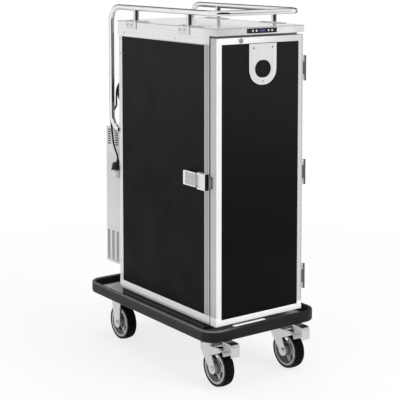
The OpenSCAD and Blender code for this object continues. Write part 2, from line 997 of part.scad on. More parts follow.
module latch_lever() {
    gap_h = latch_h - 12;
    paddle_h = latch_h - 7;
    arm_y = lever_l / 2;
    color("#cdd0d2")
        translate([lever_x, latch_y, latch_mid])
            difference() {
                union() {
                    cylinder(r = 7, h = gap_h - 2 * seat, center = true);
                    translate([0, arm_y / 2, 0])
                        cube([8, arm_y, gap_h - 8], center = true);
                    translate([-3, (14 + lever_l) / 2, 0])
                        rotate([0, -90, 0])
                            linear_extrude(6, center = true)
                                round_rect(paddle_h, lever_l - 14, 5);
                }
                cylinder(r = lever_pin_r + run, h = latch_h, center = true);
                translate([7, lever_l - 12, 0])
                    rotate([0, 0, 45])
                        cube([12, 24, paddle_h - 16], center = true);
            }
}

module latch_keeper() {
    x = -cab_x;
    color("#6d7072")
        difference() {
            span([x - 5, door_y1 - 13, latch_mid - 22], [x, door_y1 - 2, latch_mid + 22]);
            for (s = [-1, 1])
                translate([x - 4, door_y1 - 7.5, latch_mid + s * 13])
                    rotate([0, -90, 0])
                        cylinder(r1 = 2, r2 = 4, h = 3);
        }
}

// Hinges

// Fixed leaf on the cabinet side, with two knuckles and the pin
module body_leaf(z) {
    knuckle_l = hinge_h / 4;
    x0 = hinge_x - 5.5;
    color("#8b8e91")
        translate([0, 0, z])
            difference() {
                union() {
                    span([cab_x, cab_y0 + 4, -hinge_h / 2], [cab_x + leaf_t, cab_y0 + 30, hinge_h / 2]);
                    span([cab_x, cab_y0 + 4, -hinge_h / 2], [x0 + leaf_t, cab_y0 + 8, hinge_h / 2]);
                    span([x0, hinge_y, -hinge_h / 2], [x0 + leaf_t, cab_y0 + 8, hinge_h / 2]);
                    for (s = [-1, 1])
                        translate([hinge_x, hinge_y, s * (hinge_h - knuckle_l) / 2])
                            cylinder(d = knuckle_d, h = knuckle_l, center = true);
                    translate([hinge_x, hinge_y, 0])
                        cylinder(d = pin_d, h = hinge_h, center = true);
                }
                translate([hinge_x, hinge_y, 0])
                    difference() {
                        cylinder(r = hinge_x - cab_x + 2, h = hinge_h / 2, center = true);
                        cylinder(d = pin_d, h = hinge_h, center = true);
                    }
            }
}

module hinge_body_leaves() {
    for (z = hinge_zs)
        body_leaf(z);
}

// Leaf on the door edge with the middle knuckle
module door_leaf(z) {
    knuckle_l = hinge_h / 2 - 2 * seat;
    color("#9a9da0")
        translate([0, 0, z])
            difference() {
                union() {
                    span([cab_x, door_y0 + 4, -hinge_h / 2], [cab_x + leaf_t, door_y1 - 4, hinge_h / 2]);
                    translate([hinge_x, hinge_y, 0])
                        cylinder(d = knuckle_d, h = knuckle_l, center = true);
                    translate([(cab_x + hinge_x) / 2, hinge_y + 1, 0])
                        cube([hinge_x - cab_x, 6, knuckle_l], center = true);
                }
                translate([hinge_x, hinge_y, 0])
                    cylinder(d = pin_d + 2 * run, h = 2 * hinge_h, center = true);
            }
}

module hinge_door_leaves() {
    for (z = hinge_zs)
        door_leaf(z);
}

// Door

// Section of a door profile: x from the outer edge inwards, y from front to back
module door_profile() {
    r = 3;
    translate([r, 0])
        square([stile_w - r, door_t]);
    translate([0, r])
        square([stile_w, door_t - r]);
    translate([r, r])
        circle(r);
}

// One mitred profile, outer edge along X, length l
module door_member(l) {
    intersection() {
        translate([-l / 2, 0, 0])
            rotate([90, 0, 90])
                linear_extrude(l)
                    door_profile();
        linear_extrude(2 * door_t, center = true)
            polygon([
                [-l / 2 + mitre_gap, 0], [l / 2 - mitre_gap, 0],
                [l / 2 - stile_w - mitre_gap, stile_w], [-l / 2 + stile_w + mitre_gap, stile_w]
            ]);
    }
}

module door_frame() {
    mid_z = (door_z0 + door_z1) / 2;
    color("#e9ebec")
        difference() {
            translate([0, door_y0, mid_z])
                rotate([-90, 0, 0])
                    for (i = [0:3])
                        rotate([0, 0, 90 * i])
                            translate([0, i % 2 == 0 ? -door_h / 2 : -cab_x, 0])
                                door_member(i % 2 == 0 ? cab_w : door_h);
            translate([lock_x, door_y0, lock_z])
                rotate([-90, 0, 0])
                    cylinder(r = lock_r + run, h = 40, center = true);
        }
}

module door_panel() {
    x = panel_x - seat;
    color("#222223")
        span(
            [-x, panel_y, door_z0 + stile_w + seat],
            [x, panel_y + skin_t, door_z1 - stile_w - seat]
        );
}

module door_foam() {
    x = panel_x - seat;
    color("#e8dfb8")
        span(
            [-x, panel_y + skin_t + seat, door_z0 + stile_w + seat],
            [x, door_y1 - sheet_t - seat, door_z1 - stile_w - seat]
        );
}

module door_liner() {
    x = panel_x - seat;
    color("#cfd2d4")
        span(
            [-x, door_y1 - sheet_t, door_z0 + stile_w + seat],
            [x, door_y1, door_z1 - stile_w - seat]
        );
}

// Magnetic gasket on the back of the door
module door_gasket() {
    w = 2 * (cab_x - 7);
    h = door_z1 - 8 - door_z0 - 8;
    depth = door_gap - seat;
    color("#1f2021")
        translate([0, door_y1, (door_z0 + door_z1) / 2])
            rotate([-90, 0, 0])
                ring_sweep(w, h, 18)
                    union() {
                        polygon([[-16, 0], [0, 0], [0, 2.5], [-3, 4], [-3, depth - 2], [-13, depth - 2], [-13, 4], [-16, 2.5]]);
                        translate([-11, depth - 2])
                            circle(2, $fn = 24);
                        translate([-5, depth - 2])
                            circle(2, $fn = 24);
                        translate([-11, depth - 3])
                            square([6, 3]);
                    }
}

// Lock in the top profile of the door
lock_x = -98;
lock_z = door_z1 - stile_w / 2;
lock_r = 9;

module lock_barrel() {
    color("#b4b7ba")
        difference() {
            union() {
                translate([lock_x, door_y0 - 2, lock_z])
                    rotate([-90, 0, 0])
                        cylinder(r = lock_r, h = 20);
                translate([lock_x, door_y0 - 2.5, lock_z])
                    rotate([-90, 0, 0])
                        cylinder(r = lock_r + 1.5, h = 2.2);
            }
            translate([lock_x, door_y0 - 2.5, lock_z])
                cube([1.6, 6, 9], center = true);
        }
}

// Round end of radius r, drawn out sideways
module wide_round(r) {
    for (s = [-1, 1])
        translate([s * card_spread / 2, 0])
            circle(r, $fn = 96);
    translate([-card_spread / 2, -r])
        square([card_spread, 2 * r]);
}

// Plate with a round foot and a round hole, on three short spacers
module card_plate() {
    r = (card_w - card_spread) / 2;
    top = card_h - r;
    mid_z = door_z1 - stile_w - 2 - top;
    off = 3;
    color("#d9dbdc")
        translate([card_x, panel_y, mid_z])
            rotate([90, 0, 0]) {
                translate([0, 0, off])
                    linear_extrude(1.5)
                        difference() {
                            union() {
                                wide_round(r);
                                translate([-card_w / 2, 0])
                                    square([card_w, top]);
                            }
                            wide_round(card_hole_d / 2);
                        }
                for (p = [[-card_w / 2 + 20, top - 16], [card_w / 2 - 20, top - 16], [0, -r + 14]])
                    translate([p[0], p[1], 0])
                        cylinder(r = 5, h = off);
            }
}
card_x = 7;

// Refrigeration unit

// Rows of slots cut through a wall in the X direction
module slot_rows(y0, length, z0, rows, step, tall) {
    for (i = [0:rows - 1])
        translate([0, y0 + length / 2, z0 + step * i])
            cube([4 * unit_x, length, tall], center = true);
}

module unit_housing() {
    t = sheet_t;
    vent_w = unit_x - 54;
    color("#c9cbcc")
        difference() {
            span([-unit_x, unit_y0, unit_z0], [unit_x, unit_y1, unit_z1]);
            span([-unit_x + t, unit_y0 - 1, unit_z0 - 1], [unit_x - t, unit_y1 - t, unit_z1 - t]);
            slot_rows(unit_y1 - 37, 26, unit_z1 - 71, 7, 10, 5);
            slot_rows(unit_y0 + 33, 29, unit_z1 - 71, 7, 10, 5);
            for (c = [0:2])
                slot_rows(unit_y1 - 25 - 36 * c, 20, unit_z0 + 15, 13, 10, 5);
            for (i = [0:13], sx = [-1, 1])
                translate([sx * (vent_w / 2 + 20), unit_y1, unit_z0 + 60 + 18 * i])
                    cube([vent_w, 4 * t, 7], center = true);
            for (i = [0:5])
                translate([0, unit_y1, unit_z1 - 90 + 12 * i])
                    cube([2 * vent_w - 20, 4 * t, 5], center = true);
            translate([gland_x, gland_y, unit_z1])
                cylinder(r = 7.2, h = 20, center = true);
        }
}

module unit_base() {
    t = 2;
    x = unit_x - sheet_t - seat;
    y0 = unit_y0 + 2;
    y1 = unit_y1 - sheet_t - seat;
    color("#9ea1a3")
        difference() {
            span([-x, y0, unit_z0 + 2], [x, y1, unit_z0 + 26]);
            span([-x + t, y0 + t, unit_z0 + 2 + t], [x - t, y1 - t, unit_z0 + 27]);
        }
}

can_x = -unit_x + 94;
can_y = (unit_y0 + unit_y1) / 2;
can_z = unit_z0 + 16;

module compressor() {
    r = can_d / 2;
    dome = 26;
    wall = 130;
    color("#1d1e20")
        translate([can_x, can_y, can_z]) {
            rotate_extrude($fn = 64)
                difference() {
                    union() {
                        square([r, wall]);
                        translate([0, wall])
                            intersection() {
                                translate([r - dome, 0])
                                    circle(dome);
                                square([r, dome]);
                            }
                        translate([0, wall])
                            square([r - dome, dome]);
                        translate([0, 62])
                            square([r + 2.5, 5]);
                    }
                    translate([-r, -1])
                        square([r, 2 * wall]);
                }
            for (sx = [-1, 1], sy = [-1, 1])
                translate([sx * 52, sy * 40, 0]) {
                    cylinder(r = 9, h = 3);
                    translate([0, 0, -can_z + unit_z0 + 4])
                        cylinder(r = 7, h = can_z - unit_z0 - 4);
                }
            translate([-61, -49, 0])
                cube([122, 98, 3]);
            translate([r - 4, -22, 70])
                cube([16, 44, 44]);
        }
}

// Finned block: w along X, d along Y, h along Z, tubes along X, end plates standing on feet
module fin_block(w, d, h, fins, rows, foot) {
    for (i = [0:fins - 1])
        translate([(i - (fins - 1) / 2) * (w - 2) / (fins - 1), 0, 0])
            cube([1, d, h], center = true);
    for (j = [0:rows - 1], s = [-1, 1])
        translate([0, s * d / 4, (j - (rows - 1) / 2) * h / rows])
            rotate([0, 90, 0])
                cylinder(r = 4, h = w + 12, center = true, $fn = 24);
    for (s = [-1, 1])
        translate([s * (w / 2 + 2), 0, -foot / 2])
            cube([2, d + 6, h + 8 + foot], center = true);
}

coil_x = unit_x - 106;
coil_w = unit_x - 18;
coil_h = 220;
coil_z = unit_z0 + 150;
coil_y = unit_y1 - 28;
pan_z = unit_z0 + 4;

module condenser_coil() {
    color("#b9bdbf")
        translate([coil_x, coil_y, coil_z])
            fin_block(coil_w, 34, coil_h, 26, 8, coil_z - coil_h / 2 - 4 - pan_z);
}

// Fan with pitched blades cut to a round outline, axis along Y
module fan(d, blades, depth) {
    hub_r = 17;
    rotate([90, 0, 0]) {
        difference() {
            cylinder(r = hub_r, h = depth, center = true);
            cylinder(r = 3 + run, h = 2 * depth, center = true);
        }
        intersection() {
            difference() {
                cylinder(d = d, h = depth, center = true);
                cylinder(r = hub_r - 1, h = 2 * depth, center = true);
            }
            for (i = [0:blades - 1])
                rotate([0, 0, 360 / blades * i])
                    translate([d / 4, 0, 0])
                        rotate([28, 0, 0])
                            cube([d / 2, d / 3.4, 1.6], center = true);
        }
    }
}

fan_y = coil_y - 36;
evap_fan_z = pass_z + 150;
evap_fan_y = evap_y + 14;

module condenser_fan() {
    color("#2f3133")
        translate([coil_x, fan_y, coil_z])
            fan(fan_d, 5, 18);
}

module evaporator_fan() {
    color("#e4e6e8")
        translate([0, evap_fan_y, evap_fan_z])
            fan(evap_fan_d, 7, 14);
}

// Motor with its shaft towards -Y or +Y
module motor(dir, length) {
    rotate([-90 * dir, 0, 0]) {
        translate([0, 0, 12])
            cylinder(r = 26, h = length);
        translate([0, 0, -8])
            cylinder(r = 3, h = 21);
        translate([0, 0, 10])
            cylinder(r = 9, h = 3);
    }
}

module fan_motors() {
    back_y = unit_y0 + 4 + seat;
    bracket_t = 3;
    bar_y = evap_fan_y + 46;
    bar_x = evap_x - sheet_t - seat;
    color("#55585b") {
        translate([coil_x, fan_y, coil_z])
            motor(-1, fan_y - 12 - back_y - bracket_t);
        span([coil_x - 8, back_y, pan_z + seat], [coil_x + 8, back_y + bracket_t, coil_z + 20]);
        translate([0, evap_fan_y, evap_fan_z])
            motor(1, 34);
        span([-bar_x, bar_y, evap_fan_z - 10], [bar_x, bar_y + bracket_t, evap_fan_z + 10]);
    }
}

module refrigerant_pipes() {
    r = 4;
    s = can_d / 2 * cos(45);
    hot_z = coil_z + coil_h / 8 * 2.5;
    cool_z = coil_z + coil_h / 8 * 3.5;
    end_x = coil_x - coil_w / 2 - 6;
    hot_y = coil_y + 8.5;
    cool_y = coil_y - 8.5;
    wall_y = unit_y0 + 18;
    coil_face = evap_coil_y + 15 + seat;
    color("#b8764a") {
        pipe([
            [can_x - 30, can_y + 20, can_z + 156], [can_x - 30, can_y + 20, hot_z],
            [end_x - 14, can_y + 20, hot_z], [end_x - 14, hot_y, hot_z], [end_x, hot_y, hot_z]
        ], r);
        pipe([
            [pass_x - 7, coil_face, pass_z], [pass_x - 7, wall_y + 12, pass_z],
            [pass_x - 7, wall_y + 12, pass_z - 50], [can_x + s + 18, can_y - s - 18, pass_z - 50],
            [can_x + s + 18, can_y - s - 18, can_z + 40], [can_x + s, can_y - s, can_z + 40]
        ], r);
        pipe([
            [pass_x + 7, coil_face, pass_z], [pass_x + 7, wall_y, pass_z],
            [pass_x + 7, wall_y, pass_z - 90]
        ], 3);
        translate([pass_x + 7, wall_y, pass_z - 170])
            cylinder(r = 12, h = 80);
        pipe([
            [pass_x + 7, wall_y, pass_z - 169], [pass_x + 7, wall_y, cool_z],
            [end_x - 12, wall_y, cool_z], [end_x - 12, cool_y, cool_z], [end_x, cool_y, cool_z]
        ], 3);
    }
}

evap_coil_y = liner_y1 - 24;
evap_x = liner_x - 39.7;
evap_h = 150;
evap_z0 = evap_fan_z - 250;

module evaporator_coil() {
    z = evap_fan_z - evap_h;
    color("#c6cacc")
        translate([0, evap_coil_y, z])
            fin_block(2 * evap_x - 44, 30, evap_h, 26, 5, z - evap_h / 2 - 4 - evap_z0 - sheet_t);
}

module evaporator_cover() {
    t = sheet_t;
    z0 = evap_z0;
    z1 = evap_fan_z + 90;
    x = evap_x;
    y1 = liner_y1 - sheet_t - seat;
    guard_r = evap_fan_d / 2;
    color("#d4d7d9")
        difference() {
            span([-x, evap_y, z0], [x, y1, z1]);
            span([-x + t, evap_y + t, z0 + t], [x - t, y1 + 1, z1 - t]);
            translate([0, evap_y, evap_fan_z])
                rotate([90, 0, 0])
                    cylinder(r = guard_r + 4, h = 10, center = true);
            for (i = [0:7])
                translate([0, evap_y, z0 + 16 + 14 * i])
                    cube([2 * evap_x - 84, 10, 6], center = true);
        }
    color("#8a8d90")
        translate([0, evap_y - 2, evap_fan_z])
            rotate([90, 0, 0]) {
                for (k = [1:4])
                    rotate_extrude()
                        translate([guard_r * k / 4 + 6, 0])
                            circle(1.5, $fn = 16);
                for (a = [0, 60, 120])
                    rotate([0, 0, a])
                        translate([0, 0, 0.6])
                            cube([2 * guard_r + 20, 3, 2], center = true);
            }
}

// Cord

gland_x = -unit_x + 44;
gland_y = cab_y1 + 67.5;
gland_h = 30;

// Middle of the coil, from the foot of the gland
coil_at = [0, -52.5, 158];
turn_pitch = 8.6;
turn_r = 34;
turns = 6.5;
turn_steps = 24;

// Middle of the plug flange, from the foot of the gland
plug_at = [-64, -41, -170];
plug_r = 18;
plug_h = 30;
plug_tail = 12;

// Where the cord enters the plug, from the middle of its flange
tail_at = [6, -7, 0];

// Route from the gland up to the coil, from the foot of the gland
rise_route = [
    [0, 0, 30], [0, 0, 38], [2, -2, 52], [11, -9, 68], [26, -22, 82],
    [44, -38, 96], [56.5, -51, 113], [61.3, -56.3, 131], [61.95, -56.8, 142], [61.95, -56.8, 150]
];

// Route from the coil past the handle to the plug, from the foot of the gland
fall_route = [
    [-61.95, -48.2, 150], [-61.95, -48.2, 142], [-60, -44, 128], [-54, -34, 112],
    [-45, -18, 99], [-40, -2, 88], [-43, 9, 72], [-49, 13, 54], [-53, 12, 36],
    [-55, 7, 16], [-56, 1, -6], [-57, -5, -28], [-58.5, -12, -50], [-59.5, -21, -70],
    [-59.5, -32, -88], [-58.6, -42, -104], [-58, -48, -120], [-58, -48, -128]
];

// Point on the centre line of the coil at t turns, spiralling in and out again
function turn_point(t) =
    let(
        mid = turns / 2,
        r = turn_r + turn_pitch * abs(t - mid),
        f = min(1, max(0, 2 * (t - mid) + 0.5)),
        y = turn_pitch * (f * f * (3 - 2 * f) - 0.5)
    )
    [r * cos(360 * t), y, r * sin(360 * t)];

turn_count = turns * turn_steps;
turn_end = turn_point(turns);
turn_line = concat(
    [turn_point(0) - [0, 0, cord_d]],
    [for (i = [0:turn_count]) turn_point(i / turn_steps)],
    [turn_end - [0, 0, cord_d]]
);

// Catmull-Rom points between p[i] and p[i + 1]
function blend_point(p, i, f) =
    let(
        a = p[max(0, i - 1)], b = p[i], c = p[i + 1], d = p[min(len(p) - 1, i + 2)]
    )
    0.5 * (2 * b + (c - a) * f + (2 * a - 5 * b + 4 * c - d) * f * f
        + (3 * b - a - 3 * c + d) * f * f * f);

// Direction of a line of points at point i
function heading(p, i) =
    let(d = p[min(len(p) - 1, i + 1)] - p[max(0, i - 1)])
    d / norm(d);

// Ring of points round point i of a line, side is never along the line
function ring(p, i, r, sides, side) =
    let(
        t = i == 0 ? heading([p[0], p[1]], 0) : i == len(p) - 1 ? heading([p[i - 1], p[i]], 1) : heading(p, i),
        u0 = cross(side, t),
        u = u0 / norm(u0),
        v = cross(t, u)
    )
    [for (k = [0:sides - 1]) p[i] + r * (cos(360 * k / sides) * u + sin(360 * k / sides) * v)];

// Closed tube along a line of points
module tube_along(p, r, sides, side) {
    n = len(p);
    points = [for (i = [0:n - 1]) each ring(p, i, r, sides, side)];
    walls = [
        for (i = [0:n - 2], k = [0:sides - 1])
            let(a = i * sides + k, b = i * sides + (k + 1) % sides)
            each [[a, a + sides, b], [b, a + sides, b + sides]]
    ];
    first = [for (k = [1:sides - 2]) [0, k, k + 1]];
    o = (n - 1) * sides;
    last = [for (k = [1:sides - 2]) [o, o + k + 1, o + k]];
    polyhedron(points, concat(walls, first, last), convexity = 10);
}

// Least distance between the surfaces of two different turns of the coil
function turn_gap() =
    min([
        for (i = [0:len(turn_line) - 1], j = [i + turn_steps / 2:len(turn_line) - 1])
            norm(turn_line[i] - turn_line[j])
    ]) - cord_d;
echo(str("least gap between turns of the coil: ", turn_gap(), " mm"));

module at_gland() {
    translate([gland_x, gland_y, unit_z1])
        children();
}

module cord_gland() {
    color("#1b1b1c")
        at_gland() {
            translate([0, 0, -12])
                cylinder(r = 7, h = 13);
            translate([0, 0, -sheet_t - 5.3])
                cylinder(r = 11, h = 5, $fn = 6);
            cylinder(r = 12, h = 6, $fn = 6);
            translate([0, 0, 5])
                cylinder(r1 = 9, r2 = cord_d / 2 + 1.5, h = gland_h - 5);
        }
}

module cord_hooks() {
    wall_y = cab_y1 - gland_y;
    peg_r = 6;
    peg_z = coil_at[2] + turn_r - cord_d / 2 - peg_r - seat;
    tip_y = coil_at[1] + turn_pitch / 2 + cord_d / 2 + 1;
    side_x = -unit_x - gland_x;
    ring_h = 6;
    color("#a9acae")
        at_gland() {
            translate([coil_at[0], wall_y, peg_z])
                rotate([-90, 0, 0]) {
                    cylinder(r = 15, h = 2.5);
                    cylinder(r = peg_r, h = tip_y - wall_y + 3);
                }
            translate([coil_at[0], tip_y, peg_z + 4])
                rotate([-90, 0, 0])
                    linear_extrude(3)
                        round_rect(2 * peg_r, 36, 5);
            difference() {
                union() {
                    translate(plug_at + [0, 0, -ring_h - seat])
                        cylinder(r = side_x - plug_at[0], h = ring_h);
                    span(
                        [plug_at[0], plug_at[1] - 14, plug_at[2] - ring_h - seat],
                        [side_x, plug_at[1] + 14, plug_at[2] - seat]
                    );
                    span(
                        [side_x - 2, plug_at[1] - 14, plug_at[2] - 30],
                        [side_x, plug_at[1] + 14, plug_at[2] - seat]
                    );
                }
                translate(plug_at + [0, 0, -2 * ring_h])
                    cylinder(r = plug_r - 2 + seat, h = 3 * ring_h);
            }
        }
}

module cord_coil() {
    color("#202022")
        at_gland()
            translate(coil_at)
                tube_along(turn_line, cord_d / 2, 6, [0, 1, 0]);
}

// Smooth line through the points of a route, its first and last stretches straight
function smooth(p) =
    concat(
        [p[0]],
        [for (i = [1:len(p) - 3], f = [0, 0.5]) blend_point(p, i, f)],
        [p[len(p) - 2], p[len(p) - 1]]
    );

module cord_run() {
    color("#202022")
        at_gland() {
            tube_along(smooth(rise_route), cord_d / 2, 8, [1, 1, 0]);
            tube_along(smooth(fall_route), cord_d / 2, 8, [1, 0, 0]);
        }
}

module cord_plug() {
    pin_gap = 9.5;
    body_r = plug_r - 2;
    color("#1d1d1f")
        at_gland()
            translate(plug_at) {
                rotate_extrude()
                    polygon([
                        [0, -14], [plug_r - 4, -14], [body_r, -12], [body_r, 0], [plug_r, 0],
                        [plug_r, 4], [body_r, 14], [body_r - 2, plug_h - 6], [body_r - 7, plug_h], [0, plug_h]
                    ]);
                translate(tail_at + [0, 0, plug_h - 5])
                    cylinder(r1 = 8, r2 = cord_d / 2 + 1.5, h = plug_tail + 5);
                for (s = [-1, 1])
                    translate([0, s * pin_gap, -33])
                        cylinder(r = 2.4, h = 20);
            }
}

bumper();
deck_plate();
plinth_frame();
castor_mounts();
fork_left();
fork_right();
pedal_left();
pedal_right();
wheel_front_left();
wheel_front_right();
wheel_rear_left();
wheel_rear_right();
tyre_front_left();
tyre_front_right();
tyre_rear_left();
tyre_rear_right();
cabinet_frame();
side_skin_left();
side_skin_right();
outer_sheets();
cabinet_insulation();
inner_liner();
tray_runners();
wire_shelves();
top_cap();
control_bezel();
display_window();
button_1();
button_2();
button_3();
button_4();
gallery_rail();
rail_posts();
latch_body();
latch_lever();
hinge_body_leaves();
hinge_door_leaves();
door_frame();
door_panel();
door_foam();
door_liner();
door_gasket();
card_plate();
lock_barrel();
latch_keeper();
unit_housing();
unit_base();
compressor();
condenser_coil();
condenser_fan();
fan_motors();
refrigerant_pipes();
evaporator_coil();
evaporator_cover();
evaporator_fan();
cord_gland();
cord_hooks();
cord_coil();
cord_run();
cord_plug();
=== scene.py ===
"""Looks of a refrigerated banquet trolley. Metres, +Z up, the door faces -Y."""
import math

import bmesh
import bpy
from mathutils import Matrix, Vector


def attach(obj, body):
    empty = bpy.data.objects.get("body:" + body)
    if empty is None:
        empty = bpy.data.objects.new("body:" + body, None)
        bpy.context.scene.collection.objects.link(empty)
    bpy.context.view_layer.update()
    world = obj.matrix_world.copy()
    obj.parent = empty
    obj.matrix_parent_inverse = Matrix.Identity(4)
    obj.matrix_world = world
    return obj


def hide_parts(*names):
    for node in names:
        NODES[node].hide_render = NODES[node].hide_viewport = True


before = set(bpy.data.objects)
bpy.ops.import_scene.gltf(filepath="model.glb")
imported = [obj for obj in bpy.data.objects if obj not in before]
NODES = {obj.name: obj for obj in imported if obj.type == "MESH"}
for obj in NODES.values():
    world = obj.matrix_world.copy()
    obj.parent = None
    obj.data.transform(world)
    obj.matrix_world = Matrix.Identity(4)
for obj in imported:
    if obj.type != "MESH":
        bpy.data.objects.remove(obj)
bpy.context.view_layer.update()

# camera

YAW, PITCH = math.radians(35.913), math.radians(5.006)


def studio_camera():
    data = bpy.data.cameras.new("camera")
    data.sensor_width = 36.0
    data.lens = 105.45
    data.shift_x, data.shift_y = -0.01525, -0.3656
    data.clip_start, data.clip_end = 0.1, 60.0
    camera = bpy.data.objects.new("camera", data)
    camera.location = (-2.7935, -3.8988, 1.67165)
    camera.rotation_euler = (math.pi / 2 - PITCH, 0.0, -YAW)
    bpy.context.scene.collection.objects.link(camera)
    bpy.context.scene.camera = camera


studio_camera()

# sizes, as on the trolley

CAB_X = 0.212
CAP_X, CAP_FRONT_Y, CAP_Z1 = 0.215, -0.4014, 1.384
DOOR_Y0 = -0.4005
PANEL_Y = DOOR_Y0 + 0.001
FOOT_Z = 0.277
BUMPER_X, BUMPER_Z = 0.27, 0.243
DECK_X, DECK_MIDDLE_Y, DECK_HALF = 0.252, 0.0175, 0.437
LATCH_Z = 0.797
DISPLAY_X, DISPLAY_Z = 0.004, 1.3695
WHEEL_X, WHEEL_R = 0.175, 0.075
FRONT_AXLE_Y, REAR_AXLE_Y = -0.3665, 0.3275
UNIT_X, UNIT_Y0, UNIT_Y1, UNIT_Z0, UNIT_Z1 = 0.194, 0.2928, 0.4265, 0.328, 0.917
GLAND = Vector((-0.150, 0.360, 0.917))
POST_YS = (-0.2205, 0.1595)
FLANGE_Z = 1.386
HINGE_ZS = (0.376, 0.798, 1.213)

# mesh helpers


def new_piece(name, mesh, body):
    obj = bpy.data.objects.new(name, mesh)
    bpy.context.scene.collection.objects.link(obj)
    if body:
        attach(obj, body)
    return obj


def from_bmesh(name, bm, body, smooth=40.0):
    mesh = bpy.data.meshes.new(name)
    bmesh.ops.recalc_face_normals(bm, faces=bm.faces)
    bm.to_mesh(mesh)
    bm.free()
    if smooth:
        mesh.shade_smooth()
        mesh.set_sharp_from_angle(angle=math.radians(smooth))
    return new_piece(name, mesh, body)


def tube_mesh(name, points, radius, sides, body, closed_ends=True):
    """Round tube along points, turned as little as possible from ring to ring."""
    bm = bmesh.new()
    rings = []
    normal = None
    last = None
    for i, p in enumerate(points):
        ahead = points[min(len(points) - 1, i + 1)] - points[max(0, i - 1)]
        ahead.normalize()
        if normal is None:
            normal = ahead.orthogonal().normalized()
        else:
            normal = last.rotation_difference(ahead) @ normal
            normal = (normal - ahead * normal.dot(ahead)).normalized()
        last = ahead
        side = ahead.cross(normal)
        rings.append([
            bm.verts.new(p + radius * (math.cos(a) * normal + math.sin(a) * side))
            for a in (2 * math.pi * k / sides for k in range(sides))
        ])
    for a, b in zip(rings, rings[1:]):
        for k in range(sides):
            bm.faces.new((a[k], a[(k + 1) % sides], b[(k + 1) % sides], b[k]))
    if closed_ends:
        bm.faces.new(rings[0][::-1])
        bm.faces.new(rings[-1])
    return from_bmesh(name, bm, body)


# mains cord

COIL_AT = Vector((0.0, -0.0525, 0.158))
TURN_R, TURN_PITCH, TURNS = 0.034, 0.0086, 6.5
CORD_D = 0.008
RISE = [
    (0, 0, 30), (0, 0, 38), (2, -2, 52), (11, -9, 68), (26, -22, 82),
    (44, -38, 96), (56.5, -51, 113), (61.3, -56.3, 131), (61.95, -56.8, 142), (61.95, -56.8, 150),
]
FALL = [
    (-61.95, -48.2, 150), (-61.95, -48.2, 142), (-60, -44, 128), (-54, -34, 112),
    (-45, -18, 99), (-40, -2, 88), (-43, 9, 72), (-49, 13, 54), (-53, 12, 36),
    (-55, 7, 16), (-56, 1, -6), (-57, -5, -28), (-58.5, -12, -50), (-59.5, -21, -70),
    (-59.5, -32, -88), (-58.6, -42, -104), (-58, -48, -120), (-58, -48, -128),
]


def route(points, steps=3):
    """Smooth line through the points, its first and last stretches straight."""
    p = [Vector(q) / 1000 for q in points]
    line = [p[0]]
    for i in range(1, len(p) - 2):
        a, b, c, d = p[i - 1], p[i], p[i + 1], p[min(len(p) - 1, i + 2)]
        for k in range(steps):
            f = k / steps
            line.append(0.5 * (2 * b + (c - a) * f + (2 * a - 5 * b + 4 * c - d) * f * f
                               + (3 * b - a - 3 * c + d) * f ** 3))
    return line + [p[-2], p[-1]]


def coil_turn(t):
    mid = TURNS / 2
    r = TURN_R + TURN_PITCH * abs(t - mid)
    f = min(1.0, max(0.0, 2 * (t - mid) + 0.5))
    y = TURN_PITCH * (f * f * (3 - 2 * f) - 0.5)
    a = 2 * math.pi * t
    return COIL_AT + Vector((r * math.cos(a), y, r * math.sin(a)))


def mains_cord():
    steps = 36
    turns = [coil_turn(i / steps) for i in range(int(TURNS * steps) + 1)]
    line = [GLAND + p for p in route(RISE) + turns + route(FALL)]
    length = sum((b - a).length for a, b in zip(line, line[1:]))
    cord = tube_mesh("mains_cord", line, CORD_D / 2, 12, "cabinet")
    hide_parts("cord_run", "cord_coil")
    return cord


CORD = mains_cord()

# shader maths


class Value:
    """An output socket that can be used in Python expressions."""

    def __init__(self, graph, socket):
        self.graph, self.socket = graph, socket

    def _math(self, operation, other=None, flipped=False):
        pair = (other, self) if flipped else (self, other)
        inputs = {0: pair[0]}
        if other is not None:
            inputs[1] = pair[1]
        return self.graph.node("ShaderNodeMath", {"operation": operation}, inputs)

    def __add__(self, other): return self._math("ADD", other)
    def __radd__(self, other): return self._math("ADD", other, True)
    def __sub__(self, other): return self._math("SUBTRACT", other)
    def __rsub__(self, other): return self._math("SUBTRACT", other, True)
    def __mul__(self, other): return self._math("MULTIPLY", other)
    def __rmul__(self, other): return self._math("MULTIPLY", other, True)
    def __abs__(self): return self._math("ABSOLUTE")
    def root(self): return self._math("SQRT")
    def most(self, other): return self._math("MAXIMUM", other)
    def wave(self): return self._math("SINE")

    def ramp(self, low, high, a=0.0, b=1.0):
        """a below low, b above high, and smooth between."""
        return self.graph.node(
            "ShaderNodeMapRange", {"interpolation_type": "SMOOTHSTEP"},
            {"Value": self, "From Min": low, "From Max": high, "To Min": a, "To Max": b})


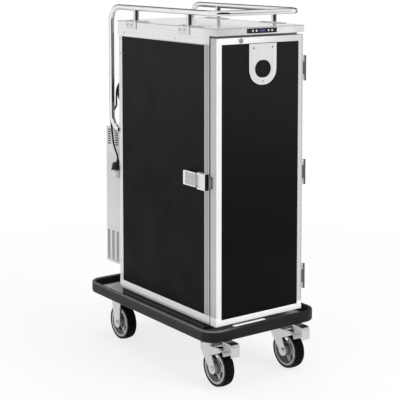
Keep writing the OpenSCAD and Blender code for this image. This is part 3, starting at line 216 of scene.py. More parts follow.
class Finish:
    """A material under construction."""

    def __init__(self, name):
        self.material = bpy.data.materials.new(name)
        self.material.use_nodes = True
        self.tree = self.material.node_tree
        self.tree.nodes.clear()
        self.place = self.node("ShaderNodeTexCoord", out="Object")

    def node(self, kind, settings=None, inputs=None, out=0):
        made = self.tree.nodes.new(kind)
        for key, value in (settings or {}).items():
            if key == "stops":
                for stop, (at, colour) in zip(made.color_ramp.elements, value):
                    stop.position, stop.color = at, colour
            else:
                setattr(made, key, value)
        for key, value in (inputs or {}).items():
            self.feed(made.inputs[key], value)
        return Value(self, made.outputs[out])

    def feed(self, socket, value):
        if isinstance(value, Value):
            self.tree.links.new(value.socket, socket)
        else:
            socket.default_value = value

    def axes(self):
        split = self.node("ShaderNodeSeparateXYZ", None, {0: self.place})
        outs = split.socket.node.outputs
        return Value(self, outs[0]), Value(self, outs[1]), Value(self, outs[2])

    def noise(self, scale, detail=3.0, rough=0.55, stretch=(1, 1, 1)):
        at = self.node("ShaderNodeMapping", None, {"Vector": self.place, "Scale": stretch})
        return self.node("ShaderNodeTexNoise", None,
                         {"Vector": at, "Scale": scale, "Detail": detail, "Roughness": rough})

    def grains(self, scale, stretch=(1, 1, 1)):
        at = self.node("ShaderNodeMapping", None, {"Vector": self.place, "Scale": stretch})
        return self.node("ShaderNodeTexVoronoi", None, {"Vector": at, "Scale": scale})

    def mix(self, share, a, b):
        made = self.tree.nodes.new("ShaderNodeMix")
        made.data_type = "RGBA"
        for key, value in ((0, share), (6, a), (7, b)):
            if isinstance(value, tuple) and len(value) == 3:
                value = (*value, 1.0)
            self.feed(made.inputs[key], value)
        return Value(self, made.outputs[2])

    def bump(self, height, strength, distance):
        return self.node("ShaderNodeBump", None,
                         {"Height": height, "Strength": strength, "Distance": distance})

    def shade(self, colour, roughness, metallic=0.0, normal=None, **more):
        if isinstance(colour, tuple) and len(colour) == 3:
            colour = (*colour, 1.0)
        inputs = {"Base Color": colour, "Roughness": roughness, "Metallic": metallic}
        inputs.update({key.replace("_", " "): value for key, value in more.items()})
        if normal is not None:
            inputs["Normal"] = normal
        shader = self.node("ShaderNodeBsdfPrincipled", None, inputs)
        output = self.tree.nodes.new("ShaderNodeOutputMaterial")
        self.tree.links.new(shader.socket, output.inputs["Surface"])
        return self.material


def tint(colour, k):
    return tuple(min(1.0, c * k) for c in colour)


# finishes


def brushed_sheet(name, colour, roughness, grain, metallic=1.0):
    """Ground sheet steel: fine scratches along one axis, faint smudges, a few long marks."""
    f = Finish(name)
    stretch = {"x": (6, 700, 700), "y": (700, 6, 700), "z": (700, 700, 6)}[grain]
    long = {"x": (1.5, 160, 160), "y": (160, 1.5, 160), "z": (160, 160, 1.5)}[grain]
    fine = f.noise(1.0, 3.0, 0.6, stretch)
    marks = f.noise(1.0, 2.0, 0.5, long)
    smudge = f.noise(7.0, 4.0, 0.6)
    tone = 0.55 * fine + 0.45 * marks
    shade = f.mix(tone.ramp(0.3, 0.7), tint(colour, 0.90), tint(colour, 1.06))
    shade = f.mix(smudge.ramp(0.45, 0.75, 0.0, 0.35), shade, tint(colour, 0.93))
    rough = roughness + 0.10 * (fine - 0.5) + 0.10 * smudge.ramp(0.4, 0.75)
    return f.shade(shade, rough, metallic, f.bump(tone, 0.12, 0.0004))


def cap_sheet(name, colour):
    """Ground cap: glossier roof, grinding marks, painted shade along the top fold and round the front
    corners.
    """
    f = Finish(name)
    x, y, z = f.axes()
    fine = f.noise(1.0, 3.0, 0.6, (700, 6, 700))
    marks = f.noise(1.0, 2.0, 0.5, (160, 1.5, 160))
    smudge = f.noise(7.0, 4.0, 0.6)
    roof = z.ramp(CAP_Z1 - 0.0012, CAP_Z1 - 0.0004)
    # Painted shade: a dark line along the fold at the top of the front and sides.
    lip_shade = z.ramp(CAP_Z1 - 0.0042, CAP_Z1 - 0.0032) * (1.0 - roof)
    tone = 0.55 * fine + 0.45 * marks
    behind = y.ramp(CAP_FRONT_Y - 0.0002, CAP_FRONT_Y + 0.0002)
    # Painted shade: the sides darken towards the front, and the front towards both ends.
    flank = (1.0 - y.ramp(-0.401, -0.29)) * behind
    face = (1.0 - behind) * (1.0 - x.ramp(-CAP_X, 0.10) + 0.6 * x.ramp(0.12, 0.20))
    shade = f.mix(tone.ramp(0.3, 0.7), tint(colour, 0.92), tint(colour, 1.04))
    shade = f.mix(smudge.ramp(0.45, 0.75, 0.0, 0.3), shade, tint(colour, 0.92))
    shade = f.mix((flank * 0.55).most(face * 0.85) * (1.0 - roof), shade, tint(colour, 0.62))
    shade = f.mix(lip_shade * 0.75, shade, tint(colour, 0.35))
    rough = 0.36 + 0.10 * (fine - 0.5) - 0.20 * roof
    return f.shade(shade, rough, 0.5, f.bump(tone, 0.10, 0.0004))


def anodised(name, front, rear, roughness, metallic=0.9, foot=None, foot_dull=0.9, flank=None,
             hinge_side=None):
    """Satin profile with drawn lines along Z and handling marks.

    The tone drifts from front to rear as painted light and shade. Below foot it is paler, which is
    painted light, and duller; on the cabinet frame its lowest strip is darker, painted shade. flank is
    where the sides of the door begin, which carry painted shade, and hinge_side is where its front
    darkens towards the hinges, also painted shade.
    """
    f = Finish(name)
    x, y, z = f.axes()
    drawn = f.noise(1.0, 2.0, 0.5, (900, 900, 3))
    dull = f.noise(11.0, 4.0, 0.6)
    # Painted light and shade: the tone drifts from the front to the paler rear.
    shade = f.mix(y.ramp(-0.34, 0.28), front, rear)
    shade = f.mix(drawn.ramp(0.3, 0.7, 0.0, 0.35), shade, tint(front, 0.88))
    shade = f.mix(dull.ramp(0.5, 0.8, 0.0, 0.2), shade, tint(front, 0.82))
    # Painted shade on the sides of the door.
    if flank:
        shade = f.mix(abs(x).ramp(flank - 0.0007, flank - 0.0002), shade, tint(front, 0.60))
    # Painted shade: the door's front darkens towards the hinge side.
    if hinge_side:
        shade = f.mix(x.ramp(-0.12, hinge_side) * 0.8, shade, tint(front, 0.58))
        shade = f.mix(x.ramp(hinge_side + 0.002, hinge_side + 0.006) * 0.6, shade, tint(front, 0.42))
    if foot:
        # Painted light: the foot is paler.
        low = 1.0 - z.ramp(foot, foot + 0.0015)
        shade = f.mix(low * 0.9, shade, (0.95, 0.955, 0.96))
        if not flank:
            # Painted shade along the lowest strip of the cabinet frame.
            shaded = 1.0 - z.ramp(foot - 0.0255, foot - 0.0235)
            shade = f.mix(shaded * 0.6, shade, (0.34, 0.342, 0.345))
        metallic = metallic - foot_dull * low
    return f.shade(shade, roughness + 0.12 * (dull - 0.5), metallic, f.bump(drawn, 0.06, 0.0003))


def laminate(name, colour, z0, z1):
    """Matte dark panel with a fine pebble and dusty wipes, lighter from z0 up to z1 as painted light."""
    f = Finish(name)
    z = f.axes()[2]
    pebble = f.grains(900.0)
    cloud = f.noise(3.0, 4.0, 0.6)
    wipes = f.noise(9.0, 3.0, 0.6)
    # Painted light: lighter towards the top.
    top_light = z.ramp(z0, z1)
    shade = f.mix(top_light * 0.8 + 0.2 * cloud, tint(colour, 0.2), tint(colour, 2.2))
    shade = f.mix(wipes.ramp(0.55, 0.8, 0.0, 0.1), shade, tint(colour, 2.4))
    rough = 0.46 + 0.10 * wipes.ramp(0.35, 0.7) + 0.05 * cloud
    return f.shade(shade, rough, 0.0, f.bump(pebble, 0.10, 0.0004), Specular_IOR_Level=0.10)


def moulding(name, colour, grain=700.0, roughness=0.55, depth=0.0006, gloss=0.25):
    """Moulded plastic or rubber with a fine leather grain and dusty wear."""
    f = Finish(name)
    cells = f.grains(grain)
    dust = f.noise(9.0, 5.0, 0.65)
    shade = f.mix(dust.ramp(0.4, 0.8, 0.0, 0.8), tint(colour, 0.85), tint(colour, 1.7))
    rough = roughness + 0.15 * (dust - 0.5)
    return f.shade(shade, rough, 0.0, f.bump(cells, 0.22, depth), Specular_IOR_Level=gloss)


def bumper_plastic(name, colour):
    """Black moulded ring: leather grain, long scuffs on the side, painted light on the side and its top
    edge.
    """
    f = Finish(name)
    x, y, z = f.axes()
    cells = f.grains(800.0)
    dust = f.noise(9.0, 5.0, 0.65)
    scuff = f.noise(1.0, 3.0, 0.6, (3, 3, 260))
    patch = f.noise(6.0, 3.0, 0.6, (1, 1, 4))
    shade = f.mix(dust.ramp(0.4, 0.8, 0.0, 0.8), tint(colour, 0.85), tint(colour, 1.7))
    side = abs(x).ramp(BUMPER_X - 0.0008, BUMPER_X - 0.0003)
    # Painted light: the side face is lighter, more so towards its top.
    shade = f.mix(side * (0.12 + 0.25 * z.ramp(0.215, 0.234)), shade, (0.04, 0.04, 0.041))
    worn = side * scuff.ramp(0.5, 0.7) * patch.ramp(0.35, 0.65, 0.1, 0.6)
    shade = f.mix(worn, shade, (0.06, 0.06, 0.062))
    # Painted highlight along the top edge, fainter to the right and at the front.
    crown = 1.0 - 0.75 * z.ramp(BUMPER_Z - 0.0006, BUMPER_Z - 0.0001)
    crest_highlight = z.ramp(BUMPER_Z - 0.0085, BUMPER_Z - 0.0018) * crown * (1.0 - 0.8 * x.ramp(0.0, 0.15))
    crest_highlight = crest_highlight * f.noise(45.0, 4.0, 0.7).ramp(0.3, 0.7, 0.6, 1.0)
    front = 1.0 - y.ramp(-0.432, -0.425)
    crest_highlight = crest_highlight * (1.0 - 0.9 * front * x.ramp(-0.21, -0.10))
    shade = f.mix(crest_highlight * 0.9, shade, (0.20, 0.20, 0.204))
    rough = 0.5 + 0.15 * (dust - 0.5) + 0.08 * crest_highlight
    return f.shade(shade, rough, 0.0, f.bump(cells, 0.22, 0.0006), Specular_IOR_Level=0.28)


def powder_coat(name, colour, roughness=0.45, peel=380.0, metallic=0.0):
    """Baked coat with orange peel, light dust and slight tone drift."""
    f = Finish(name)
    skin = f.noise(peel, 2.0, 0.5)
    drift = f.noise(5.0, 4.0, 0.6)
    shade = f.mix(drift.ramp(0.35, 0.75), tint(colour, 0.93), tint(colour, 1.05))
    return f.shade(shade, roughness + 0.12 * (drift - 0.5), metallic, f.bump(skin, 0.25, 0.0005))


def plinth_coat(name):
    """Dark square tube with a grey line along its foot, a painted highlight that is also raised in the
    bump.
    """
    f = Finish(name)
    z = f.axes()[2]
    skin = f.noise(380.0, 2.0, 0.5)
    # Painted highlight: a grey line near the foot.
    line = z.ramp(0.2185, 0.2200) * (1.0 - z.ramp(0.2265, 0.2280))
    shade = f.mix(skin.ramp(0.3, 0.7), (0.026, 0.026, 0.026), (0.036, 0.036, 0.036))
    shade = f.mix(line * 0.9, shade, (0.12, 0.12, 0.122))
    return f.shade(shade, 0.5 + 0.1 * skin, 0.0, f.bump(skin + 2.0 * line, 0.2, 0.0005))


def deck_coat(name, colour):
    """Grey coated deck: speckle, scuffs, stains, painted light at the rear and front right, painted
    shade at the edges.
    """
    f = Finish(name)
    x, y, _ = f.axes()
    speck = f.noise(420.0, 2.0, 0.6)
    scuff = f.noise(1.0, 4.0, 0.65, (120, 9, 60))
    stain = f.noise(6.0, 5.0, 0.6)
    side, end = abs(x), abs(y - DECK_MIDDLE_Y)
    # Painted shade: darker along the edges.
    edge = side.ramp(DECK_X - 0.009, DECK_X).most(end.ramp(DECK_HALF - 0.012, DECK_HALF))
    # Painted light: paler behind the cabinet.
    rear = y.ramp(0.29, 0.31)
    shade = f.mix(speck.ramp(0.35, 0.65), tint(colour, 0.86), tint(colour, 1.12))
    shade = f.mix(rear * 0.8, shade, tint(colour, 2.1))
    # Painted light near the front right.
    lit_corner = x.ramp(0.11, 0.16) * (1.0 - y.ramp(-0.410, -0.395))
    shade = f.mix(lit_corner * 0.6, shade, tint(colour, 1.8))
    shade = f.mix(scuff.ramp(0.58, 0.75, 0.0, 0.5), shade, tint(colour, 1.35))
    shade = f.mix(stain.ramp(0.5, 0.8, 0.0, 0.3), shade, tint(colour, 0.7))
    shade = f.mix(edge * 0.6, shade, tint(colour, 0.4))
    return f.shade(shade, 0.5 + 0.1 * stain, 0.2, f.bump(speck, 0.2, 0.0005))


def zinc(name, colour):
    """Bright zinc plating: fine spangle, a faint yellow cast in places, painted shade inside the forks
    near the pins.
    """
    f = Finish(name)
    x, y, z = f.axes()
    spangle = f.grains(260.0)
    cast = f.noise(16.0, 4.0, 0.6)
    shade = f.mix(spangle.ramp(0.1, 0.7), tint(colour, 0.90), tint(colour, 1.05))
    warm = (colour[0], colour[1] * 0.98, colour[2] * 0.93)
    shade = f.mix(cast.ramp(0.45, 0.75, 0.0, 0.6), shade, warm)
    # Painted shade in the inner channels of the forks.
    inside = 1.0 - abs(abs(x) - WHEEL_X).ramp(0.027, 0.029)
    channel_shade = inside * (1.0 - z.ramp(0.184, 0.186)) * y.ramp(-0.4445, -0.4415)
    shade = f.mix(channel_shade * 0.4, shade, tint(colour, 0.35))
    return f.shade(shade, 0.24 + 0.14 * cast, 0.85, f.bump(cast, 0.14, 0.0008))


def tyre_rubber(name, axle_y):
    """Black rubber with a thin grey moulded ring, dusty tread and fine grain."""
    f = Finish(name)
    _, y, z = f.axes()
    dy, dz = y - axle_y, z - WHEEL_R
    radius = (dy * dy + dz * dz).root()
    ring = radius.ramp(0.0682, 0.0687) * (1.0 - radius.ramp(0.0697, 0.0702))
    tread = radius.ramp(0.0715, 0.0735)
    dust = f.noise(60.0, 4.0, 0.7)
    shade = f.mix(dust.ramp(0.3, 0.8), (0.002, 0.002, 0.0021), (0.005, 0.005, 0.0049))
    shade = f.mix(tread * dust.ramp(0.4, 0.8, 0.0, 0.4), shade, (0.022, 0.021, 0.020))
    shade = f.mix(ring * 0.8, shade, (0.17, 0.17, 0.175))
    return f.shade(shade, 0.6 + 0.15 * dust, 0.0, f.bump(dust + 0.4 * ring, 0.25, 0.0006),
                   Specular_IOR_Level=0.04)


def wheel_plastic(name, colour, axle_y):
    """Grey moulded centre with light faces and grime, painted shade on the cone, in the pockets and
    round the hub.
    """
    f = Finish(name)
    x, y, z = f.axes()
    dy, dz = y - axle_y, z - WHEEL_R
    radius = (dy * dy + dz * dz).root()
    depth = abs(abs(x) - WHEEL_X)
    grime = f.noise(40.0, 4.0, 0.65)
    # Painted shade on the cone, in the pockets and at the foot of the hub.
    cone_shade = radius.ramp(0.0465, 0.0485) * (1.0 - radius.ramp(0.0535, 0.0550))
    pocket_shade = (1.0 - depth.ramp(0.0058, 0.0067)) * radius.ramp(0.0225, 0.0245)
    foot = radius.ramp(0.0200, 0.0212) * (1.0 - radius.ramp(0.0245, 0.0275))
    shade = f.mix(cone_shade * 0.75, colour, tint(colour, 0.22))
    shade = f.mix(foot * 0.8, shade, tint(colour, 0.15))
    shade = f.mix(pocket_shade * 0.95, shade, tint(colour, 0.05))
    shade = f.mix(grime.ramp(0.4, 0.8, 0.0, 0.35), shade, tint(colour, 0.45))
    return f.shade(shade, 0.38 + 0.15 * grime, 0.1, f.bump(grime, 0.1, 0.0005))


def plain_gloss(name, colour, roughness=0.18, **more):
    f = Finish(name)
    film = f.noise(30.0, 3.0, 0.6)
    shade = f.mix(film.ramp(0.4, 0.8), colour, tint(colour, 1.25))
    return f.shade(shade, roughness + 0.08 * film, 0.0, f.bump(film, 0.03, 0.0005), **more)


def display_glass(name):
    """Navy window with a dimly lit row of plain bars."""
    f = Finish(name)
    x, _, z = f.axes()
    across, up = x - DISPLAY_X, z - DISPLAY_Z
    bars = (across * 900.0).wave().ramp(0.1, 0.5) * (1.0 - abs(across).ramp(0.0095, 0.0105))
    row = bars * (1.0 - abs(up).ramp(0.0036, 0.0042))
    film = f.noise(40.0, 3.0, 0.6)
    shade = f.mix(row * 0.5, (0.008, 0.008, 0.024), (0.22, 0.24, 0.46))
    return f.shade(shade, 0.16 + 0.06 * film, 0.0, f.bump(film, 0.02, 0.0003),
                   Emission_Color=(0.12, 0.13, 0.40, 1.0), Emission_Strength=0.06)


def polished(name, colour, roughness=0.14):
    f = Finish(name)
    haze = f.noise(22.0, 4.0, 0.6)
    hair = f.noise(1.0, 2.0, 0.5, (60, 60, 500))
    shade = f.mix(haze.ramp(0.4, 0.8), colour, tint(colour, 0.9))
    return f.shade(shade, roughness + 0.1 * haze, 1.0, f.bump(hair, 0.04, 0.0003))


def rail_steel(name):
    """Polished tube; the underside of the right-hand run carries a painted dark reflection."""
    f = Finish(name)
    x, y, z = f.axes()
    haze = f.noise(22.0, 4.0, 0.6)
    hair = f.noise(1.0, 2.0, 0.5, (60, 60, 500))
    # Painted reflection: dark along the underside of the right-hand run.
    right_run = x.ramp(0.17, 0.20) * (1.0 - y.ramp(0.25, 0.32))
    under = right_run * (1.0 - z.ramp(1.4350, 1.4400)) * z.ramp(1.400, 1.420)
    shade = f.mix(haze.ramp(0.4, 0.8), (0.90, 0.905, 0.91), (0.81, 0.815, 0.82))
    shade = f.mix(under * 0.85, shade, (0.07, 0.07, 0.072))
    return f.shade(shade, 0.05 + 0.1 * haze, 1.0, f.bump(hair, 0.04, 0.0003))


def post_steel(name):
    """Bright post with a painted dark reflection down its front, on a satin welded flange with painted
    shade at its edges.
    """
    f = Finish(name)
    _, y, z = f.axes()
    haze = f.noise(22.0, 4.0, 0.6)
    low = 1.0 - z.ramp(FLANGE_Z + 0.0005, FLANGE_Z + 0.0015)
    under_roof = 1.0 - z.ramp(CAP_Z1 - 0.0002, CAP_Z1 + 0.0001)
    # Painted shade on the flange's edges.
    shade_and_reflection = (1.0 - z.ramp(FLANGE_Z - 0.0005, FLANGE_Z - 0.0002)) * (1.0 - under_roof)
    shade = f.mix(haze.ramp(0.4, 0.8), (0.90, 0.905, 0.91), (0.81, 0.815, 0.82))
    shade = f.mix(low * 0.9, shade, (0.74, 0.745, 0.75))
    for post_y in POST_YS:
        # Painted shadow at the flange's front end below the roof.
        edge = 1.0 - abs(y - post_y + 0.0117).ramp(0.0012, 0.0016)
        shade_and_reflection = shade_and_reflection.most(edge * under_roof)
        # Painted reflection: a dark stripe down the post's front.
        ahead = y - post_y
        streak = (1.0 - ahead.ramp(-0.0062, -0.0030)) * ahead.ramp(-0.030, -0.025)
        shade_and_reflection = shade_and_reflection.most(streak * z.ramp(FLANGE_Z + 0.0015, FLANGE_Z + 0.0020))
    shade = f.mix(shade_and_reflection * 0.8, shade, (0.10, 0.10, 0.102))
    return f.shade(shade, 0.07 + 0.1 * haze + 0.26 * low, 1.0 - 0.45 * low, f.bump(haze, 0.04, 0.0003))


def hinge_steel(name):
    """Satin leaves, pale partly as painted light, with dark barrels and dark middle arms as painted
    shade.
    """
    f = Finish(name)
    x, y, z = f.axes()
    haze = f.noise(50.0, 4.0, 0.6)
    # Painted shade: the barrels and the middle arm of each hinge are dark.
    front = 1.0 - y.ramp(-0.394, -0.392)
    barrel = x.ramp(CAB_X + 0.0064, CAB_X + 0.0070) * front
    arm = 0.0
    for middle in HINGE_ZS:
        arm = (1.0 - abs(z - middle).ramp(0.0246, 0.0250)).most(arm)
    dark = barrel.most(arm * front)
    # Painted light in part: the leaves are near-white.
    shade = f.mix(haze.ramp(0.4, 0.8), (0.95, 0.955, 0.96), (0.86, 0.865, 0.87))
    shade = f.mix(dark, shade, (0.11, 0.11, 0.112))
    return f.shade(shade, 0.36 + 0.1 * haze, 0.1 + 0.3 * dark, f.bump(haze, 0.05, 0.0003))


def keeper_steel(name):
    """Grey keeper with dark rounded ends."""
    f = Finish(name)
    _, y, z = f.axes()
    haze = f.noise(60.0, 4.0, 0.6)
    ends = abs(z - LATCH_Z).ramp(0.0165, 0.0195).most(1.0 - y.ramp(-0.3745, -0.3735))
    shade = f.mix(haze.ramp(0.4, 0.8), (0.30, 0.30, 0.305), (0.22, 0.22, 0.224))
    shade = f.mix(ends * 0.9, shade, (0.05, 0.05, 0.05))
    return f.shade(shade, 0.38 + 0.1 * haze, 0.3, f.bump(haze, 0.05, 0.0003))


def latch_steel(name, colour):
    """Satin cast body with a black plastic end towards the door."""
    f = Finish(name)
    y = f.axes()[1]
    haze = f.noise(60.0, 4.0, 0.6)
    cap = 1.0 - y.ramp(-0.3513, -0.3508)
    shade = f.mix(haze.ramp(0.4, 0.8), colour, tint(colour, 0.92))
    shade = f.mix(cap, shade, (0.006, 0.006, 0.006))
    return f.shade(shade, 0.34 + 0.1 * haze, 0.55 * (1.0 - cap), f.bump(haze, 0.04, 0.0003))


def paddle_steel(name, colour):
    """Pressed paddle: ground field inside a bright rolled border."""
    f = Finish(name)
    _, y, z = f.axes()
    grain = f.noise(1.0, 2.0, 0.5, (500, 8, 500))
    end = y.ramp(-0.2165, -0.2145)
    border = end.most(abs(z - LATCH_Z).ramp(0.0232, 0.0245))
    shade = f.mix(grain.ramp(0.3, 0.7), tint(colour, 0.93), tint(colour, 1.05))
    shade = f.mix(border, shade, (0.93, 0.935, 0.94))
    return f.shade(shade, 0.34 + 0.08 * grain, 0.55, f.bump(grain + 2.0 * border, 0.1, 0.0004))


def copper(name):
    f = Finish(name)
    age = f.noise(35.0, 4.0, 0.65)
    shade = f.mix(age.ramp(0.35, 0.75), (0.78, 0.36, 0.22), (0.42, 0.20, 0.12))
    return f.shade(shade, 0.3 + 0.25 * age, 1.0, f.bump(age, 0.06, 0.0005))


def foam(name):
    f = Finish(name)
    cells = f.grains(420.0)
    shade = f.mix(cells.ramp(0.0, 0.6), (0.72, 0.64, 0.40), (0.85, 0.78, 0.55))
    return f.shade(shade, 0.9, 0.0, f.bump(cells, 0.4, 0.001))


SHEET_X = brushed_sheet("sheet_grain_across", (0.63, 0.64, 0.65), 0.34, "x")
SHEET_Y = brushed_sheet("sheet_grain_lengthwise", (0.62, 0.63, 0.64), 0.34, "y")
CAP = cap_sheet("cap_steel", (0.88, 0.885, 0.89))
TUBE = rail_steel("rail_tube")
POST = post_steel("rail_post_steel")
SHEET_Z = brushed_sheet("sheet_grain_upright", (0.60, 0.61, 0.62), 0.36, "z")
LINING = brushed_sheet("satin_lining", (0.66, 0.67, 0.68), 0.40, "z", 0.35)
PROFILE = anodised("anodised_profile", (0.52, 0.525, 0.53), (0.94, 0.945, 0.95), 0.40, foot=FOOT_Z)
DOOR_PROFILE = anodised("anodised_door_profile", (0.86, 0.865, 0.87), (0.86, 0.865, 0.87), 0.42, 0.2,
                        foot=FOOT_Z, foot_dull=0.2, flank=CAB_X, hinge_side=0.200)
SIDE_PANEL = laminate("charcoal_side_panel", (0.0060, 0.0060, 0.0063), 0.60, 1.32)
# Painted shade: the door panel is a slightly darker copy of the side panel's laminate.
DOOR_PANEL = laminate("charcoal_door_panel", (0.0052, 0.0052, 0.0055), 0.55, 1.32)
BUMPER = bumper_plastic("bumper_plastic", (0.005, 0.005, 0.0052))
DECK = deck_coat("grey_deck_coat", (0.36, 0.36, 0.365))
DARK_STEEL = powder_coat("dark_channel_coat", (0.035, 0.035, 0.036))
PLINTH = plinth_coat("plinth_coat")
ZINC = zinc("bright_zinc", (0.70, 0.71, 0.72))
HOUSING = powder_coat("light_grey_housing", (0.69, 0.70, 0.705), 0.42)
GLOSS = plain_gloss("black_gloss", (0.008, 0.008, 0.009))
DISPLAY = display_glass("display_blue")
BUTTON = plain_gloss("button_white", (0.72, 0.74, 0.80), 0.30)
LATCH = latch_steel("latch_body_steel", (0.86, 0.865, 0.87))
PADDLE = paddle_steel("latch_paddle_steel", (0.52, 0.525, 0.53))
CHROME = polished("bright_chrome", (0.82, 0.83, 0.84), 0.10)
HINGE = hinge_steel("hinge_steel")
KEEPER = keeper_steel("keeper_steel")
SEAL = moulding("seal_rubber", (0.012, 0.012, 0.012), 500.0, 0.6, 0.0004)
ENAMEL = powder_coat("black_enamel", (0.012, 0.012, 0.012), 0.25, 200.0)
FINS = brushed_sheet("fin_aluminium", (0.66, 0.67, 0.68), 0.35, "z")
COPPER = copper("copper_tube")
FAN = moulding("fan_plastic", (0.03, 0.03, 0.032), 600.0, 0.45, 0.0004)
CORD_RUBBER = moulding("cord_rubber", (0.014, 0.014, 0.015), 900.0, 0.5, 0.0003)
PLUG_RUBBER = moulding("plug_rubber", (0.016, 0.016, 0.017), 700.0, 0.45, 0.0004)
# Painted shade: near-black for the liner inside the housing.
SHADE = moulding("painted_shade_liner", (0.002, 0.002, 0.002), 500.0, 0.8, 0.0003, 0.0)
FOAM = foam("insulating_foam")
CARD = brushed_sheet("card_plate_steel", (0.72, 0.725, 0.73), 0.36, "z", 0.35)
SCREW = polished("screw_steel", (0.55, 0.55, 0.56), 0.25)

FRONT_WHEEL = wheel_plastic("front_wheel_plastic", (0.46, 0.465, 0.47), FRONT_AXLE_Y)
REAR_WHEEL = wheel_plastic("rear_wheel_plastic", (0.46, 0.465, 0.47), REAR_AXLE_Y)
FRONT_TYRE = tyre_rubber("front_tyre_rubber", FRONT_AXLE_Y)
REAR_TYRE = tyre_rubber("rear_tyre_rubber", REAR_AXLE_Y)

NODE_FINISH = {
    "bumper": BUMPER, "deck_plate": DECK, "plinth_frame": PLINTH, "castor_mounts": ZINC,
    "fork_left": ZINC, "fork_right": ZINC, "pedal_left": ZINC, "pedal_right": ZINC,
    "wheel_front_left": FRONT_WHEEL, "wheel_front_right": FRONT_WHEEL,
    "wheel_rear_left": REAR_WHEEL, "wheel_rear_right": REAR_WHEEL,
    "tyre_front_left": FRONT_TYRE, "tyre_front_right": FRONT_TYRE,
    "tyre_rear_left": REAR_TYRE, "tyre_rear_right": REAR_TYRE,
    "cabinet_frame": PROFILE, "side_skin_left": SIDE_PANEL, "side_skin_right": SIDE_PANEL,
    "outer_sheets": SHEET_Z, "cabinet_insulation": FOAM, "inner_liner": LINING,
    "tray_runners": SHEET_Y, "wire_shelves": CHROME, "top_cap": CAP,
    "control_bezel": GLOSS, "display_window": DISPLAY,
    "button_1": BUTTON, "button_2": BUTTON, "button_3": BUTTON, "button_4": BUTTON,
    "gallery_rail": TUBE, "rail_posts": POST, "latch_body": LATCH, "latch_lever": PADDLE,
    "hinge_body_leaves": HINGE, "hinge_door_leaves": HINGE, "door_frame": DOOR_PROFILE,
    "door_panel": DOOR_PANEL, "door_foam": FOAM, "door_liner": LINING, "door_gasket": SEAL,
    "card_plate": CARD, "lock_barrel": CHROME, "latch_keeper": KEEPER,
    "unit_housing": HOUSING, "unit_base": DARK_STEEL, "compressor": ENAMEL,
    "condenser_coil": FINS, "condenser_fan": FAN, "fan_motors": ENAMEL, "refrigerant_pipes": COPPER,
    "evaporator_coil": FINS, "evaporator_cover": SHEET_X, "evaporator_fan": FAN,
    "cord_gland": PLUG_RUBBER, "cord_hooks": SHEET_Z, "cord_plug": PLUG_RUBBER,
}


def dress(obj, material):
    if obj.material_slots:
        for slot in obj.material_slots:
            slot.material = material
    else:
        obj.data.materials.append(material)


for node_name, finish in NODE_FINISH.items():
    dress(NODES[node_name], finish)
dress(CORD, CORD_RUBBER)

# screws and rivets


def lathe(name, outline, steps=24):
    """Solid turned from (radius, height) points, starting and ending on the axis."""
    bm = bmesh.new()
    rings = []
    for r, h in outline:
        if r == 0:
            rings.append([bm.verts.new((0, 0, h))])
        else:
            turns = [2 * math.pi * k / steps for k in range(steps)]
            rings.append([bm.verts.new((r * math.cos(a), r * math.sin(a), h)) for a in turns])
    for a, b in zip(rings, rings[1:]):
        for k in range(steps):
            n = (k + 1) % steps
            corners = [a[k % len(a)], a[n % len(a)], b[n % len(b)], b[k % len(b)]]
            bm.faces.new(list(dict.fromkeys(corners)))
    mesh = bpy.data.meshes.new(name)
    bmesh.ops.recalc_face_normals(bm, faces=bm.faces)
    bm.to_mesh(mesh)
    bm.free()
    return mesh


def pan_screw():
    """Pan head, 1 unit in radius, with a round socket."""
    return lathe("pan_screw", [(0, 0), (1.0, 0), (1.0, 0.18), (0.9, 0.38), (0.62, 0.52), (0.36, 0.55),
                               (0.34, 0.25), (0, 0.22)], 18)


def dome_rivet():
    return lathe("dome_rivet", [(0, 0), (1.0, 0), (0.94, 0.16), (0.7, 0.36), (0.35, 0.47), (0, 0.5)], 16)


def fastener_tree(name, head, material):
    """Geometry nodes that set one head on each point, turned to the point's 'facing'."""
    tree = bpy.data.node_groups.new(name, "GeometryNodeTree")
    face = tree.interface
    face.new_socket("Geometry", in_out="INPUT", socket_type="NodeSocketGeometry")
    size = face.new_socket("Head Radius", in_out="INPUT", socket_type="NodeSocketFloat")
    size.default_value = 0.003
    face.new_socket("Geometry", in_out="OUTPUT", socket_type="NodeSocketGeometry")
    nodes, links = tree.nodes, tree.links
    start, end = nodes.new("NodeGroupInput"), nodes.new("NodeGroupOutput")
    info = nodes.new("GeometryNodeObjectInfo")
    info.inputs["Object"].default_value = head
    points = nodes.new("GeometryNodeMeshToPoints")
    facing = nodes.new("GeometryNodeInputNamedAttribute")
    facing.data_type = "FLOAT_VECTOR"
    facing.inputs["Name"].default_value = "facing"
    turn = nodes.new("FunctionNodeAlignRotationToVector")
    turn.axis = "Z"
    place = nodes.new("GeometryNodeInstanceOnPoints")
    real = nodes.new("GeometryNodeRealizeInstances")
    paint = nodes.new("GeometryNodeSetMaterial")
    paint.inputs["Material"].default_value = material
    links.new(start.outputs["Geometry"], points.inputs["Mesh"])
    links.new(points.outputs["Points"], place.inputs["Points"])
    links.new(info.outputs["Geometry"], place.inputs["Instance"])
    links.new(facing.outputs["Attribute"], turn.inputs["Vector"])
    links.new(turn.outputs["Rotation"], place.inputs["Rotation"])
    links.new(start.outputs["Head Radius"], place.inputs["Scale"])
    links.new(place.outputs["Instances"], real.inputs["Geometry"])
    links.new(real.outputs["Geometry"], paint.inputs["Geometry"])
    links.new(paint.outputs["Geometry"], end.inputs["Geometry"])
    return tree, size.identifier


def plain_mesh_of(obj, name, body):
    """The evaluated object as a plain mesh piece."""
    graph = bpy.context.evaluated_depsgraph_get()
    mesh = bpy.data.meshes.new_from_object(obj.evaluated_get(graph))
    mesh.name = name
    bpy.data.objects.remove(obj)
    return new_piece(name, mesh, body)


HEADS = {}


